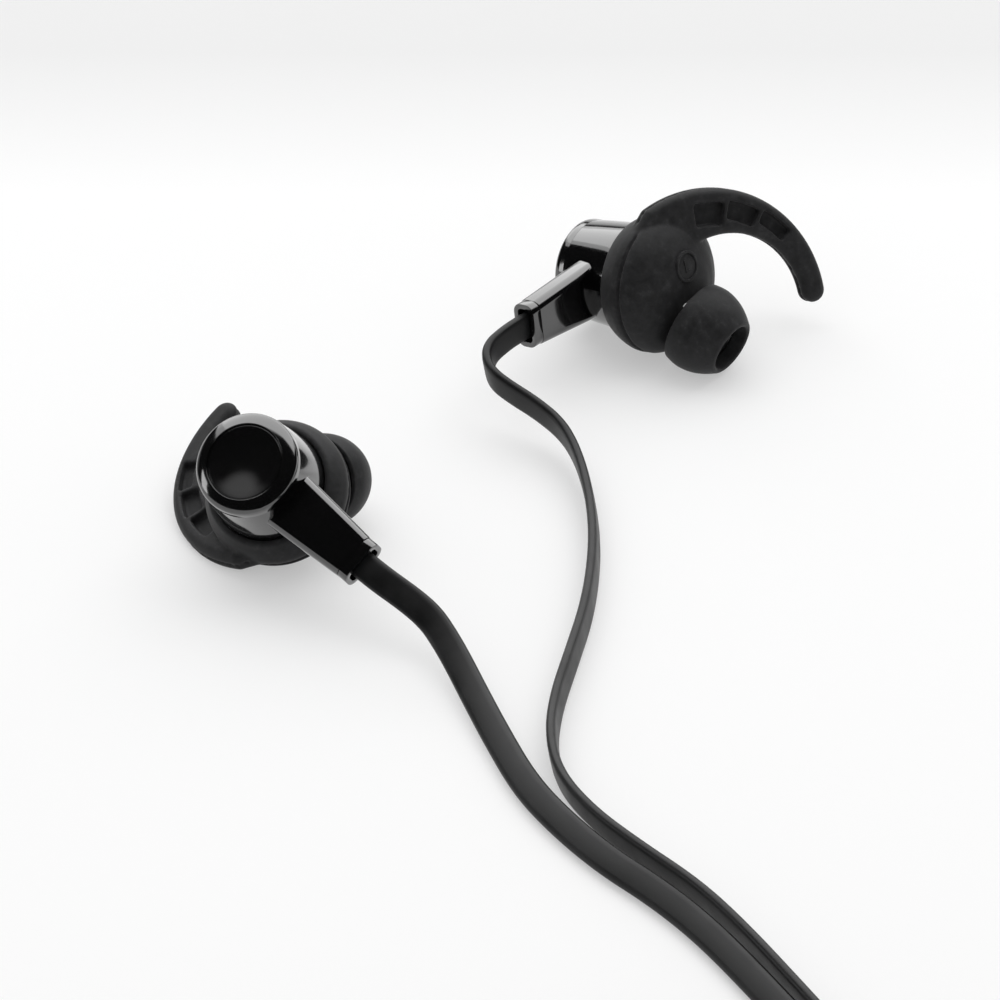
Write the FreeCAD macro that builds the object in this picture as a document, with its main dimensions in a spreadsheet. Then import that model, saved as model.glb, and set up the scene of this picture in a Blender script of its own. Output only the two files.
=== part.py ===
import FreeCAD, Part
import math
import os
import Sketcher
from FreeCAD import Placement, Rotation, Vector

# Wired in-ear sport earphones with flat cords.
# Units are millimetres. The frame's origin is on the table, under the middle of the two earphones, +Z up.
# Each earphone has its own frame: origin at the middle of the back cap's face, x along the cord arm,
# z out of the cap, so that the body lies on the minus z side. The left one is the right one mirrored in y.

SIZES = {
    # back cap
    "cap_radius": 5.75,
    "cap_rim": 0.3,
    "cap_edge_height": 0.9,
    "cap_disc_radius": 4.25,
    "cap_disc_depth": 0.8,
    "cap_step": 0.25,
    "cap_step_draft": 0.06,
    "cap_boss_length": 1.3,
    # rear housing and its arm
    "shell_gap": 0.05,
    "shell_top_radius": 5.8,
    "shell_base_radius": 6.32,
    "shell_base_depth": 7.45,
    "shell_joint_depth": 12.0,
    "shell_bore_radius": 5.2,
    "arm_reach": 16.44,
    "arm_depth": 4.46,
    "arm_root": 3.2,
    "arm_root_width": 5.8,
    "arm_end_width": 4.7,
    "arm_height": 3.0,
    "arm_corner": 0.75,
    "channel_width": 3.8,
    "channel_height": 1.7,
    "channel_corner": 0.4,
    # collar at the arm's end
    "collar_length": 1.2,
    "collar_step": 0.15,
    "collar_tongue": 4.0,
    "fit_gap": 0.06,
    # front housing and nozzle
    "dome_wall": 0.9,
    "flange_height": 0.8,
    "dome_shoulder_radius": 5.1,
    "dome_shoulder_drop": 1.6,
    "dome_nose_radius": 2.6,
    "dome_nose_drop": 2.6,
    "spigot_length": 1.2,
    "nozzle_root_x": 0.58,
    "nozzle_root_y": 2.58,
    "nozzle_root_drop": 1.0,
    "nozzle_tilt": 25.4,
    "nozzle_turn": 94.6,
    "nozzle_length": 7.3,
    "nozzle_radius": 2.45,
    "nozzle_bore_radius": 1.95,
    "nozzle_lip_radius": 2.8,
    "nozzle_lip_length": 0.8,
    "nozzle_start": 0.5,
    "mesh_thickness": 0.25,
    "mesh_inset": 0.35,
    # ear tip
    "tip_start": 2.9,
    "tip_end": 8.81,
    "tip_clearance": 0.05,
    "tip_core_wall": 0.55,
    "tip_skirt_radius": 5.22,
    "tip_skirt_wall": 0.5,
    "tip_rim_radius": 4.95,
    "tip_full_height": 1.3,
    "tip_shoulder_radius": 4.6,
    "tip_shoulder_height": 3.9,
    "tip_mouth_wall": 0.48,
    "tip_mouth_depth": 0.8,
    # sleeve and fin
    "sleeve_gap": 0.05,
    "sleeve_lip_rise": 4.0,
    "sleeve_lip_radius": 7.0,
    "sleeve_radius": 8.16,
    "sleeve_full_rise": 1.6,
    "sleeve_line_rise": 0.6,
    "sleeve_shoulder_radius": 7.6,
    "sleeve_shoulder_drop": 1.0,
    "sleeve_dome_drop": 3.6,
    "sleeve_dome_radius": 6.5,
    "sleeve_side_drop": 2.1,
    "sleeve_nose_radius": 3.0,
    "nozzle_hole_radius": 2.6,
    "fin_plane_tilt": 26.0,
    "fin_plane_turn": 152.4,
    "fin_plane_x": 0.81,
    "fin_plane_y": -0.43,
    "fin_plane_drop": 0.87,
    "fin_outer_x": -3.9,
    "fin_outer_y": 5.47,
    "fin_outer_radius": 15.19,
    "fin_inner_turn": 161.87,
    "fin_inner_radius": 9.72,
    "fin_thickness": 2.6,
    "fin_edge": 0.6,
    "fin_start_angle": 288.0,
    "fin_root_angle": 300.0,
    "fin_tip_round": 1.55,
    "fin_tip_ease": 0.008,
    "fin_heel_x": 4.9,
    "fin_heel_y": -5.2,
    "fin_heel_curve": 7.5,
    "fin_heart": 3.0,
    "pocket_depth": 0.9,
    "pocket_start": 266.0,
    "pocket_span": 16.0,
    "pocket_rib": 3.4,
    "pocket_inner_radius": 10.4,
    "pocket_inner_step": 0.9,
    "pocket_outer_radius": 13.2,
    "pocket_outer_step": 0.5,
    # where the earphones lie: middle of the cap's face, and turns about z, y and x
    "right_x": -28.36,
    "right_y": -25.06,
    "right_z": 15.58,
    "right_yaw": -43.4,
    "right_pitch": 15.5,
    "right_roll": 39.0,
    "left_x": 8.79,
    "left_y": 30.34,
    "left_z": 6.36,
    "left_yaw": -129.1,
    "left_pitch": -2.7,
    "left_roll": 100.7,
    # driver
    "frame_radius": 5.1,
    "frame_depth": 9.6,
    "frame_height": 2.4,
    "frame_wall": 0.5,
    "magnet_radius": 3.4,
    "magnet_height": 1.3,
    # cords
    "branch_width": 3.2,
    "branch_thickness": 1.1,
    "trunk_width": 4.0,
    "trunk_thickness": 1.2,
    "trunk_lean": 84.0,
    "cord_lead": 2.0,
    "port_lead": 7.0,
    "trunk_lead": 5.5,
    "coil_lead": 9.5,
    "tail_lead": 8.0,
    "coil_outer_radius": 24.5,
    "coil_pitch": 2.2,
    "coil_layer_gap": 0.6,
    "coil_x": 16.0,
    "coil_y": -144.86,
    "coil_start": 20.0,
    "coil_turns_in": 2,
    "coil_turns_out": 2.7917,
    "coil_sides": 28,
    "coil_climb_dip": 0.5,
    # cord furniture
    "splitter_length": 16.0,
    "splitter_width": 8.4,
    "splitter_height": 5.2,
    "splitter_corner": 1.8,
    "splitter_end_width": 6.2,
    "splitter_edge": 0.9,
    "splitter_x": -13.13,
    "splitter_y": -130.06,
    "splitter_turn": 80.0,
    "port_spacing": 3.5,
    "tie_thickness": 0.7,
    "tie_width": 6.0,
    "tie_gap": 0.4,
    "tie_side_gap": 0.8,
    "tie_turns": 3,
    "tie_corner": 0.8,
    "tie_turn": 110.0,
    "relief_length": 11.0,
    "relief_start_radius": 2.35,
    "relief_end_radius": 3.1,
    "relief_groove": 0.35,
    "groove_start": 0.3,
    "groove_end": 0.7,
    "relief_pitch": 4.4,
    "relief_grooves": 2,
    "grip_length": 14.0,
    "grip_radius": 3.7,
    "grip_shoulder": 1.5,
    "grip_end_step": 0.9,
    "pin_radius": 1.75,
    "pin_sleeve_length": 8.2,
    "pin_ring_length": 1.9,
    "pin_insulator": 0.6,
    "pin_neck_radius": 1.15,
    "pin_tip_length": 2.7,
    "pin_tip_land": 0.3,
    "pin_neck_start": 1.0,
    "pin_bulb_length": 1.2,
    "pin_bulb_step": 0.1,
    "plug_axis_height": 3.7,
}

doc = FreeCAD.newDocument("wired_earphones")
sheet = doc.addObject("Spreadsheet::Sheet", "Dims")
for row, (name, value) in enumerate(SIZES.items(), start=1):
    sheet.set("A%d" % row, name)
    sheet.set("B%d" % row, str(value))
    sheet.setAlias("B%d" % row, name)
doc.recompute()


def size(name):
    """A driving dimension, read back from the sheet."""
    return float(sheet.get(name))


def worth(expression):
    """The value of an expression in the sheet's names."""
    value = sheet.evalExpression(expression)
    return float(getattr(value, "Value", value))


def bound(expression):
    """The same expression, as other objects of the document write it."""
    words = []
    word = ""
    for letter in expression + " ":
        if letter.isalnum() or letter == "_":
            word += letter
            continue
        words.append("Dims." + word if word in SIZES else word)
        words.append(letter)
        word = ""
    return "".join(words).strip()


def origin_plane(body, role):
    for feature in body.Origin.OriginFeatures:
        if feature.Role == role:
            return feature
    raise ValueError(role)


def new_body(name):
    body = doc.addObject("PartDesign::Body", name)
    body.Label = name
    return body


def datum_plane(body, name, role, offset):
    """A plane of the body, moved from one of its origin planes by a placement."""
    plane = body.newObject("PartDesign::Plane", name)
    plane.AttachmentSupport = [(origin_plane(body, role), "")]
    plane.MapMode = "FlatFace"
    plane.AttachmentOffset = offset
    return plane


def pin_point(sketch, edge, end, x, y):
    """Hold one end of an edge at the coordinates that two expressions give."""
    for kind, expression, axis in (("DistanceX", x, -2), ("DistanceY", y, -1)):
        value = worth(expression)
        if abs(value) < 1e-9:
            sketch.addConstraint(Sketcher.Constraint("PointOnObject", edge, end, axis))
            continue
        index = sketch.addConstraint(Sketcher.Constraint(kind, -1, 1, edge, end, value))
        sketch.setExpression("Constraints[%d]" % index, bound(expression))


def arc_between(a, b, radius, bulge):
    """The short arc from a to b. bulge is 1 for a left turn and -1 for a right turn."""
    chord = b.sub(a)
    half = chord.Length / 2
    rise = math.sqrt(max(radius * radius - half * half, 0.0))
    left = Vector(-chord.y, chord.x, 0).normalize()
    middle = (a + b) / 2 + left * rise * bulge
    first, last = (a, b) if bulge > 0 else (b, a)
    start = math.atan2(first.y - middle.y, first.x - middle.x)
    end = math.atan2(last.y - middle.y, last.x - middle.x)
    return Part.ArcOfCircle(Part.Circle(middle, Vector(0, 0, 1), radius), start, end)


def draw_loop(sketch, corners, arcs):
    """A closed loop through corners, each a pair of expressions. arcs gives the radius
    expression and the bulge of each edge that is not straight, by its first corner."""
    points = [Vector(worth(x), worth(y), 0) for x, y in corners]
    first_edge = sketch.GeometryCount
    count = len(points)
    starts = []
    ends = []
    for i, a in enumerate(points):
        b = points[(i + 1) % count]
        if i in arcs:
            radius, bulge = arcs[i]
            edge = sketch.addGeometry(arc_between(a, b, worth(radius), bulge))
            starts.append((edge, 1 if bulge > 0 else 2))
            ends.append((edge, 2 if bulge > 0 else 1))
        else:
            edge = sketch.addGeometry(Part.LineSegment(a, b))
            starts.append((edge, 1))
            ends.append((edge, 2))
    for i in range(count):
        edge, end = starts[(i + 1) % count]
        sketch.addConstraint(Sketcher.Constraint("Coincident", ends[i][0], ends[i][1], edge, end))
    for i, (x, y) in enumerate(corners):
        pin_point(sketch, starts[i][0], starts[i][1], x, y)
    for i, (radius, bulge) in arcs.items():
        edge = first_edge + i
        index = sketch.addConstraint(Sketcher.Constraint("Radius", edge, worth(radius)))
        sketch.setExpression("Constraints[%d]" % index, bound(radius))


def sketch_on(body, name, plane, loops):
    sketch = body.newObject("Sketcher::SketchObject", name)
    sketch.AttachmentSupport = [(plane, "")]
    sketch.MapMode = "FlatFace"
    for corners, arcs in loops:
        draw_loop(sketch, corners, arcs)
    return sketch


def revolve(body, name, plane, corners, arcs=None, kind="PartDesign::Revolution"):
    """Turn an outline of (radius, height) corners about the plane's upright axis."""
    sketch = sketch_on(body, name + "_outline", plane, [(corners, arcs or {})])
    feature = body.newObject(kind, name)
    feature.Profile = sketch
    feature.ReferenceAxis = (sketch, ["V_Axis"])
    feature.Angle = 360
    body.Tip = feature
    return feature


def extrude(body, name, sketch, length, kind="PartDesign::Pad", symmetric=False, reverse=False):
    feature = body.newObject(kind, name)
    feature.Profile = sketch
    feature.setExpression("Length", bound(length))
    if symmetric:
        feature.SideType = "Symmetric"
    feature.Reversed = reverse
    body.Tip = feature
    return feature


def round_box(width, height, corner, middle_y="0", middle_z="0"):
    """A rectangle with rounded corners, and where its arcs are."""
    corner = "(%s)" % corner
    left = "%s - (%s) / 2" % (middle_y, width)
    right = "%s + (%s) / 2" % (middle_y, width)
    low = "%s - (%s) / 2" % (middle_z, height)
    high = "%s + (%s) / 2" % (middle_z, height)
    corners = [
        (left + " + " + corner, low), (right + " - " + corner, low),
        (right, low + " + " + corner), (right, high + " - " + corner),
        (right + " - " + corner, high), (left + " + " + corner, high),
        (left, high + " - " + corner), (left, low + " + " + corner),
    ]
    return corners, {1: (corner, 1), 3: (corner, 1), 5: (corner, 1), 7: (corner, 1)}


def earphone_frame(side):
    """The placement of an earphone: side is right or left."""
    middle = Vector(size(side + "_x"), size(side + "_y"), size(side + "_z"))
    return Placement(middle, Rotation(size(side + "_yaw"), size(side + "_pitch"), size(side + "_roll")))


def hand(side):
    """1 for the right earphone and -1 for the left one, which is its mirror image in y."""
    return 1 if side == "right" else -1


def nozzle_frame(side):
    """The nozzle's own frame in the earphone: z runs out along the nozzle."""
    depth = worth("shell_joint_depth + nozzle_root_drop")
    root = Vector(size("nozzle_root_x"), hand(side) * size("nozzle_root_y"), -depth)
    tilt = math.radians(size("nozzle_tilt"))
    turn = math.radians(size("nozzle_turn")) * hand(side)
    out = Vector(math.sin(tilt) * math.cos(turn), math.sin(tilt) * math.sin(turn), -math.cos(tilt))
    return Placement(root, Rotation(Vector(0, 0, 1), out))


def upright(placement):
    """The same frame, turned so that a sketch's own y runs along the frame's z."""
    return placement * Placement(Vector(), Rotation(Vector(1, 0, 0), 90))


def make_back_cap(side):
    body = new_body(side + "_back_cap")
    boss = "shell_bore_radius - fit_gap"
    foot = "-cap_edge_height - cap_boss_length"
    corners = [
        ("0", "-cap_disc_depth"),
        ("cap_disc_radius", "-cap_disc_depth"),
        ("cap_disc_radius + cap_step_draft", "-cap_disc_depth + cap_step"),
        ("cap_radius - cap_rim", "0"),
        ("cap_radius", "0"),
        ("cap_radius", "-cap_edge_height"),
        (boss, "-cap_edge_height"),
        (boss, foot),
        ("0", foot),
    ]
    revolve(body, "cap_turning", origin_plane(body, "XZ_Plane"), corners)
    return body


def arm_section(body, name, reach, width, height, corner):
    """A rounded cross-section of the arm on a plane across it."""
    plane = datum_plane(body, name + "_plane", "YZ_Plane", Placement(Vector(0, 0, worth(reach)), Rotation()))
    plane.setExpression(".AttachmentOffset.Base.z", bound(reach))
    loop = round_box(width, height, corner, middle_z="-arm_depth")
    return sketch_on(body, name, plane, [loop])


def make_rear_housing(side):
    body = new_body(side + "_rear_housing")
    rim = "-cap_edge_height - shell_gap"
    wall = [
        ("shell_bore_radius", rim),
        ("shell_top_radius", rim),
        ("shell_base_radius", "-shell_base_depth"),
        ("shell_base_radius", "-shell_joint_depth"),
        ("shell_bore_radius", "-shell_joint_depth"),
    ]
    revolve(body, "shell_turning", origin_plane(body, "XZ_Plane"), wall)
    arm_end = "arm_reach - collar_length - shell_gap"
    plane = datum_plane(body, "arm_plane", "XY_Plane", Placement(Vector(0, 0, -size("arm_depth")), Rotation()))
    plane.setExpression(".AttachmentOffset.Base.z", bound("-arm_depth"))
    outline = [("arm_root", "-arm_root_width / 2"), (arm_end, "-arm_end_width / 2"),
               (arm_end, "arm_end_width / 2"), ("arm_root", "arm_root_width / 2")]
    arm = extrude(body, "arm", sketch_on(body, "arm_outline", plane, [(outline, {})]), "arm_height",
                  symmetric=True)
    doc.recompute()
    names = []
    for number, edge in enumerate(arm.Shape.Edges, start=1):
        box = edge.BoundBox
        if box.XMax > worth(arm_end) - 0.001 and box.XLength > size("arm_root") and box.ZLength < 0.001:
            names.append("Edge%d" % number)
    rounding = body.newObject("PartDesign::Fillet", "arm_rounding")
    rounding.Base = (arm, names)
    rounding.setExpression("Radius", bound("arm_corner"))
    body.Tip = rounding
    doc.recompute()
    cavity = [("0", rim), ("shell_bore_radius", rim), ("shell_bore_radius", "-shell_joint_depth"),
              ("0", "-shell_joint_depth")]
    revolve(body, "cavity", origin_plane(body, "XZ_Plane"), cavity, kind="PartDesign::Groove")
    mouth = arm_section(body, "channel_section", arm_end, "channel_width", "channel_height", "channel_corner")
    extrude(body, "channel", mouth, "arm_reach - arm_root", kind="PartDesign::Pocket")
    return body


def make_collar(side):
    body = new_body(side + "_cord_collar")
    section = arm_section(body, "collar_section", "arm_reach - collar_length",
                          "arm_end_width - 2 * collar_step", "arm_height - 2 * collar_step",
                          "arm_corner - collar_step")
    extrude(body, "plate", section, "collar_length")
    tongue = arm_section(body, "tongue_section", "arm_reach - collar_length", "channel_width - 2 * fit_gap",
                         "channel_height - 2 * fit_gap", "channel_corner - fit_gap")
    extrude(body, "tongue", tongue, "collar_tongue", reverse=True)
    return body


def make_front_housing(side):
    body = new_body(side + "_front_housing")
    spigot = "shell_bore_radius - fit_gap"
    top = "-shell_joint_depth + spigot_length"
    seat = "-shell_joint_depth - shell_gap"
    corners = [
        (spigot + " - dome_wall", top),
        (spigot, top),
        (spigot, seat),
        ("shell_base_radius", seat),
        ("shell_base_radius", seat + " - flange_height"),
        ("dome_shoulder_radius", "-shell_joint_depth - dome_shoulder_drop"),
        ("dome_nose_radius", "-shell_joint_depth - dome_nose_drop"),
        ("0", "-shell_joint_depth - dome_nose_drop"),
        ("0", seat + " - flange_height / 2"),
        (spigot + " - dome_wall", seat + " - flange_height / 2"),
    ]
    revolve(body, "dome_turning", origin_plane(body, "XZ_Plane"), corners)
    plane = datum_plane(body, "nozzle_plane", "XY_Plane", upright(nozzle_frame(side)))
    tube = [
        ("0", "nozzle_start"),
        ("nozzle_radius", "nozzle_start"),
        ("nozzle_radius", "nozzle_length - nozzle_lip_length"),
        ("nozzle_lip_radius", "nozzle_length - nozzle_lip_length"),
        ("nozzle_lip_radius", "nozzle_length - nozzle_lip_length / 3"),
        ("nozzle_lip_radius - nozzle_lip_length / 3", "nozzle_length"),
        ("0", "nozzle_length"),
    ]
    revolve(body, "nozzle", plane, tube)
    past = "nozzle_length + nozzle_lip_length"
    bore = [("0", "0"), ("nozzle_bore_radius", "0"), ("nozzle_bore_radius", past), ("0", past)]
    revolve(body, "nozzle_bore", plane, bore, kind="PartDesign::Groove")
    return body


def make_nozzle_mesh(side):
    body = new_body(side + "_nozzle_mesh")
    top = "nozzle_length - mesh_inset"
    rim = "nozzle_bore_radius - fit_gap / 2"
    corners = [("0", top + " - mesh_thickness"), (rim, top + " - mesh_thickness"), (rim, top), ("0", top)]
    revolve(body, "mesh_disc", origin_plane(body, "XZ_Plane"), corners)
    return body


def make_ear_tip(side):
    body = new_body(side + "_ear_tip")
    bore = "nozzle_lip_radius + tip_clearance"
    core = bore + " + tip_core_wall"
    full = "tip_start + tip_full_height"
    shoulder = "tip_start + tip_shoulder_height"
    corners = [
        (bore, "tip_start"),
        (bore, "tip_end"),
        (bore + " + tip_mouth_wall", "tip_end"),
        ("tip_shoulder_radius", shoulder),
        ("tip_skirt_radius", full),
        ("tip_rim_radius", "tip_start"),
        ("tip_rim_radius - tip_skirt_wall", "tip_start"),
        ("tip_skirt_radius - tip_skirt_wall", full),
        ("tip_shoulder_radius - tip_skirt_wall", shoulder),
        (core, "tip_end - tip_mouth_depth"),
        (core, "tip_start"),
    ]
    revolve(body, "tip_turning", origin_plane(body, "XZ_Plane"), corners)
    return body


def fin_outline(side):
    """The fin's flat outline: outer arc, rounded tip, inner arc and a heel inside the sleeve."""
    sign = "" if side == "right" else "-"

    def at(x, y):
        return x, "%s(%s)" % (sign, y)

    # the tip's round touches both arcs, which gives the angles where they end
    apart = "(fin_outer_radius - fin_inner_radius - 2 * fin_tip_round + fin_tip_ease)"
    lean = "fin_inner_turn * 1 deg"
    short = "(fin_outer_radius - fin_tip_round)"
    long = "(fin_inner_radius + fin_tip_round)"
    outer_end = "(%s + acos((%s ^ 2 + %s ^ 2 - %s ^ 2) / (2 * %s * %s)))" % (
        lean, short, apart, long, short, apart)
    inner_end = "(%s + 180 deg - acos((%s ^ 2 + %s ^ 2 - %s ^ 2) / (2 * %s * %s)))" % (
        lean, long, apart, short, long, apart)

    shift = {"outer": ("0", "0"),
             "inner": ("%s * cos(fin_inner_turn)" % apart, "%s * sin(fin_inner_turn)" % apart)}

    def on_arc(kind, angle):
        return at("fin_outer_x + %s + fin_%s_radius * cos(%s)" % (shift[kind][0], kind, angle),
                  "fin_outer_y + %s + fin_%s_radius * sin(%s)" % (shift[kind][1], kind, angle))

    corners = [
        on_arc("outer", "fin_start_angle"),
        on_arc("outer", outer_end),
        on_arc("inner", inner_end),
        on_arc("inner", "fin_root_angle"),
        at("fin_heart", "-fin_heart"),
        at("fin_heel_x", "fin_heel_y"),
    ]
    turn = hand(side)
    arcs = {0: ("fin_outer_radius", -turn), 1: ("fin_tip_round", -turn), 2: ("fin_inner_radius", turn),
            5: ("fin_heel_curve", -turn)}
    return corners, arcs


def pocket_outline(side, number):
    """One of the fin's three blind pockets: a piece of a ring about the outer arc's middle."""
    sign = "" if side == "right" else "-"
    near = "(pocket_start - %d * (pocket_span + pocket_rib))" % number
    far = near + " - pocket_span"
    inner = "(pocket_inner_radius + %d * pocket_inner_step)" % number
    outer = "(pocket_outer_radius + %d * pocket_outer_step)" % number

    def polar(radius, angle):
        return ("fin_outer_x + %s * cos(%s)" % (radius, angle),
                "%s(fin_outer_y + %s * sin(%s))" % (sign, radius, angle))

    corners = [polar(outer, near), polar(outer, far), polar(inner, far), polar(inner, near)]
    turn = hand(side)
    return corners, {0: (outer, -turn), 2: (inner, turn)}


def fin_frame(side, lift):
    """The fin's plane in the earphone, moved by lift along its normal."""
    turn = math.radians(size("fin_plane_turn")) * hand(side)
    axis = Vector(-math.sin(turn), math.cos(turn), 0)
    depth = worth("shell_joint_depth + fin_plane_drop")
    middle = Vector(size("fin_plane_x"), hand(side) * size("fin_plane_y"), -depth)
    plane = Placement(middle, Rotation(axis, size("fin_plane_tilt")))
    return plane * Placement(Vector(0, 0, lift), Rotation())


def rim_edges(feature, frame, lift):
    """Names of the edges that lie in the fin's two faces, apart from those at its heel."""
    names = []
    flat = frame.inverse()
    for number, edge in enumerate(feature.Shape.Edges, start=1):
        points = [flat.multVec(p) for p in edge.discretize(5)]
        level = all(abs(abs(p.z) - lift) < 0.001 for p in points)
        outside = min(p.x for p in points) < -size("fin_heart")
        if level and outside and edge.Length > 1:
            names.append("Edge%d" % number)
    return names


def make_fin_sleeve(side):
    body = new_body(side + "_fin_sleeve")
    half = size("fin_thickness") / 2
    plane = datum_plane(body, "fin_plane", "XY_Plane", fin_frame(side, 0))
    fin = extrude(body, "fin", sketch_on(body, "fin_outline", plane, [fin_outline(side)]),
                  "fin_thickness", symmetric=True)
    doc.recompute()
    edge_bevel = body.newObject("PartDesign::Chamfer", "fin_bevel")
    edge_bevel.Base = (fin, rim_edges(fin, fin_frame(side, 0), half))
    edge_bevel.setExpression("Size", bound("fin_edge"))
    body.Tip = edge_bevel
    loops = [pocket_outline(side, number) for number in range(3)]
    for name, lift in (("back", half), ("front", -half)):
        face = datum_plane(body, name + "_face", "XY_Plane", fin_frame(side, lift))
        pockets = sketch_on(body, name + "_pocket_outlines", face, loops)
        extrude(body, name + "_pockets", pockets, "pocket_depth", kind="PartDesign::Pocket",
                reverse=name == "front")
    inner = "shell_base_radius + sleeve_gap"
    joint = "-shell_joint_depth"
    nose = joint + " - dome_nose_drop - sleeve_gap"
    dome = joint + " - sleeve_dome_drop"
    corners = [
        (inner, joint + " + sleeve_lip_rise"),
        ("sleeve_lip_radius", joint + " + sleeve_lip_rise"),
        ("sleeve_radius", joint + " + sleeve_full_rise"),
        ("sleeve_radius", joint + " + sleeve_line_rise"),
        ("sleeve_shoulder_radius", joint + " - sleeve_shoulder_drop"),
        ("sleeve_dome_radius", joint + " - sleeve_side_drop"),
        ("sleeve_nose_radius", dome),
        ("0", dome),
        ("0", nose),
        ("dome_nose_radius", nose),
        ("dome_shoulder_radius + sleeve_gap", joint + " - dome_shoulder_drop - sleeve_gap"),
        (inner, joint + " - flange_height - 2 * sleeve_gap"),
    ]
    revolve(body, "sleeve_turning", origin_plane(body, "XZ_Plane"), corners)
    inside = [("0", "-cap_edge_height"), (inner, "-cap_edge_height")] + corners[:-5:-1]
    revolve(body, "sleeve_hollow", origin_plane(body, "XZ_Plane"), inside, kind="PartDesign::Groove")
    nozzle = datum_plane(body, "nozzle_plane", "XY_Plane", upright(nozzle_frame(side)))
    hole = [("0", "0"), ("nozzle_hole_radius", "0"), ("nozzle_hole_radius", "nozzle_length"),
            ("0", "nozzle_length")]
    revolve(body, "nozzle_hole", nozzle, hole, kind="PartDesign::Groove")
    return body


def make_driver(side):
    frame_top = "-frame_depth + frame_height"
    seat = "magnet_radius + fit_gap"
    pieces = []
    frame = new_body(side + "_driver_frame")
    corners = [(seat, frame_top), ("frame_radius", frame_top), ("frame_radius", "-frame_depth"),
               ("frame_radius - frame_wall", "-frame_depth"),
               ("frame_radius - frame_wall", frame_top + " - frame_wall"), (seat, frame_top + " - frame_wall")]
    revolve(frame, "basket", origin_plane(frame, "XZ_Plane"), corners)
    pieces.append(frame)
    magnet = new_body(side + "_driver_magnet")
    foot = frame_top + " - magnet_height"
    corners = [("0", frame_top), ("magnet_radius", frame_top), ("magnet_radius", foot), ("0", foot)]
    revolve(magnet, "magnet_disc", origin_plane(magnet, "XZ_Plane"), corners)
    pieces.append(magnet)
    return pieces


# Points of the free cords on their way to the splitter. The first two and the last two of each are
# worked out at the pieces that they meet.
RIGHT_ROUTE = [
    (-10.6, -36.56, 5.6), (-8.4, -38.46, 4.6), (-6.9, -40.86, 3.6), (-5.5, -43.86, 2.75), (-3.8, -48.46, 1.95),
    (-1.4, -55.56, 1.5), (1.6, -64.26, 1.45), (5.2, -70.76, 1.45),
    (9.8, -77.26, 1.45), (14.8, -82.56, 1.45), (19.7, -89.06, 1.45), (25.2, -98.66, 1.45), (33.5, -114.06, 1.45),
    (47.8, -142.16, 1.45), (40.4, -165.46, 1.45), (18.7, -176.66, 1.45), (-1.0, -170.36, 1.45),
    (-11.3, -158.36, 1.45),
]
LEFT_ROUTE = [
    (-0.7, 11.79, 7.9), (-2.05, 10.09, 7.55), (-2.45, 8.14, 7.0), (-1.75, 6.24, 6.35), (0.1, 4.74, 5.6),
    (3.1, 2.84, 4.6), (5.9, 0.24, 3.55), (7.5, -3.36, 2.75), (8.6, -8.56, 2.1),
    (9.3, -15.36, 1.75), (9.3, -23.36, 1.7), (8.4, -32.86, 1.7), (6.5, -42.26, 1.7), (4.9, -50.06, 1.7),
    (4.3, -57.06, 1.7), (5.3, -64.06, 1.75), (8.6, -70.56, 1.85), (13.2, -76.46, 1.95), (18.9, -82.96, 2.0),
    (23.2, -89.66, 2.0), (28.4, -99.26, 2.0), (36.8, -115.16, 1.9), (50.6, -142.36, 1.75), (43.2, -167.96, 1.7),
    (19.0, -180.46, 1.7), (-3.0, -173.56, 1.7), (-14.4, -159.86, 1.7),
]
LEAD_IN_ROUTE = [
    (-3.9, -111.76), (7.0, -111.46), (17.9, -114.76), (27.9, -120.06),
]
TAIL_ROUTE = [
    (1.0, -172.9, 7.3), (-9.0, -173.6, 6.85), (-17.5, -173.2, 6.1), (-25.0, -170.9, 5.1),
    (-30.0, -166.0, 4.2), (-31.6, -160.0, 3.7), (-32.0, -155.5, 3.7),
]


def heading(angle):
    """The level direction at an angle in degrees from +X."""
    return Vector(math.cos(math.radians(angle)), math.sin(math.radians(angle)), 0)


def run_and_arc_path(points):
    """Straight runs joined by tangent arcs, with the least radius and the length."""
    edges = []
    here = points[0]
    least = 1e9
    for before, point, after in zip(points, points[1:], points[2:]):
        back = (before - point).normalize()
        ahead = (after - point).normalize()
        half_turn = (math.pi - back.getAngle(ahead)) / 2
        reach = 0.45 * min(before.distanceToPoint(point), after.distanceToPoint(point))
        radius = reach / math.tan(half_turn)
        inward = (back + ahead).normalize()
        middle = point + inward * (radius / math.cos(half_turn) - radius)
        start = point + back * reach
        end = point + ahead * reach
        edges.append(Part.LineSegment(here, start).toShape())
        edges.append(Part.Arc(start, middle, end).toShape())
        here = end
        least = min(least, radius)
    edges.append(Part.LineSegment(here, points[-1]).toShape())
    return Part.Wire(edges), least


def flat_section(middle, along, lean, width, thickness):
    """The flat cord's outline across its path, its width raised by lean degrees from level."""
    level = Vector(0, 0, 1).cross(along).normalize()
    rise = along.cross(level).normalize()
    tilt = math.radians(lean)
    wide = level * math.cos(tilt) + rise * math.sin(tilt)
    thin = rise * math.cos(tilt) - level * math.sin(tilt)
    points = [middle + wide * (a * width / 2) + thin * (b * thickness / 2)
              for a, b in ((1, -1), (1, 1), (-1, 1), (-1, -1))]
    return Part.makePolygon(points + points[:1])


def sweep_flat(name, path, section):
    """A flat cord swept along a path, square to it all the way."""
    shell = Part.BRepOffsetAPI.MakePipeShell(path)
    shell.add(section)
    shell.build()
    shell.makeSolid()
    cord = doc.addObject("Part::Feature", name)
    cord.Label = name
    cord.Shape = shell.shape()
    return cord


def free_cord(name, points, lean, width, thickness):
    path, least = run_and_arc_path(points)
    section = flat_section(points[0], (points[1] - points[0]).normalize(), lean, width, thickness)
    cord = sweep_flat(name, path, section)
    straight = width * thickness * path.Length
    print("%s length %.1f least radius %.2f volume %.1f of %.1f" % (
        name, path.Length, least, cord.Shape.Volume, straight))
    return cord


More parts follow.
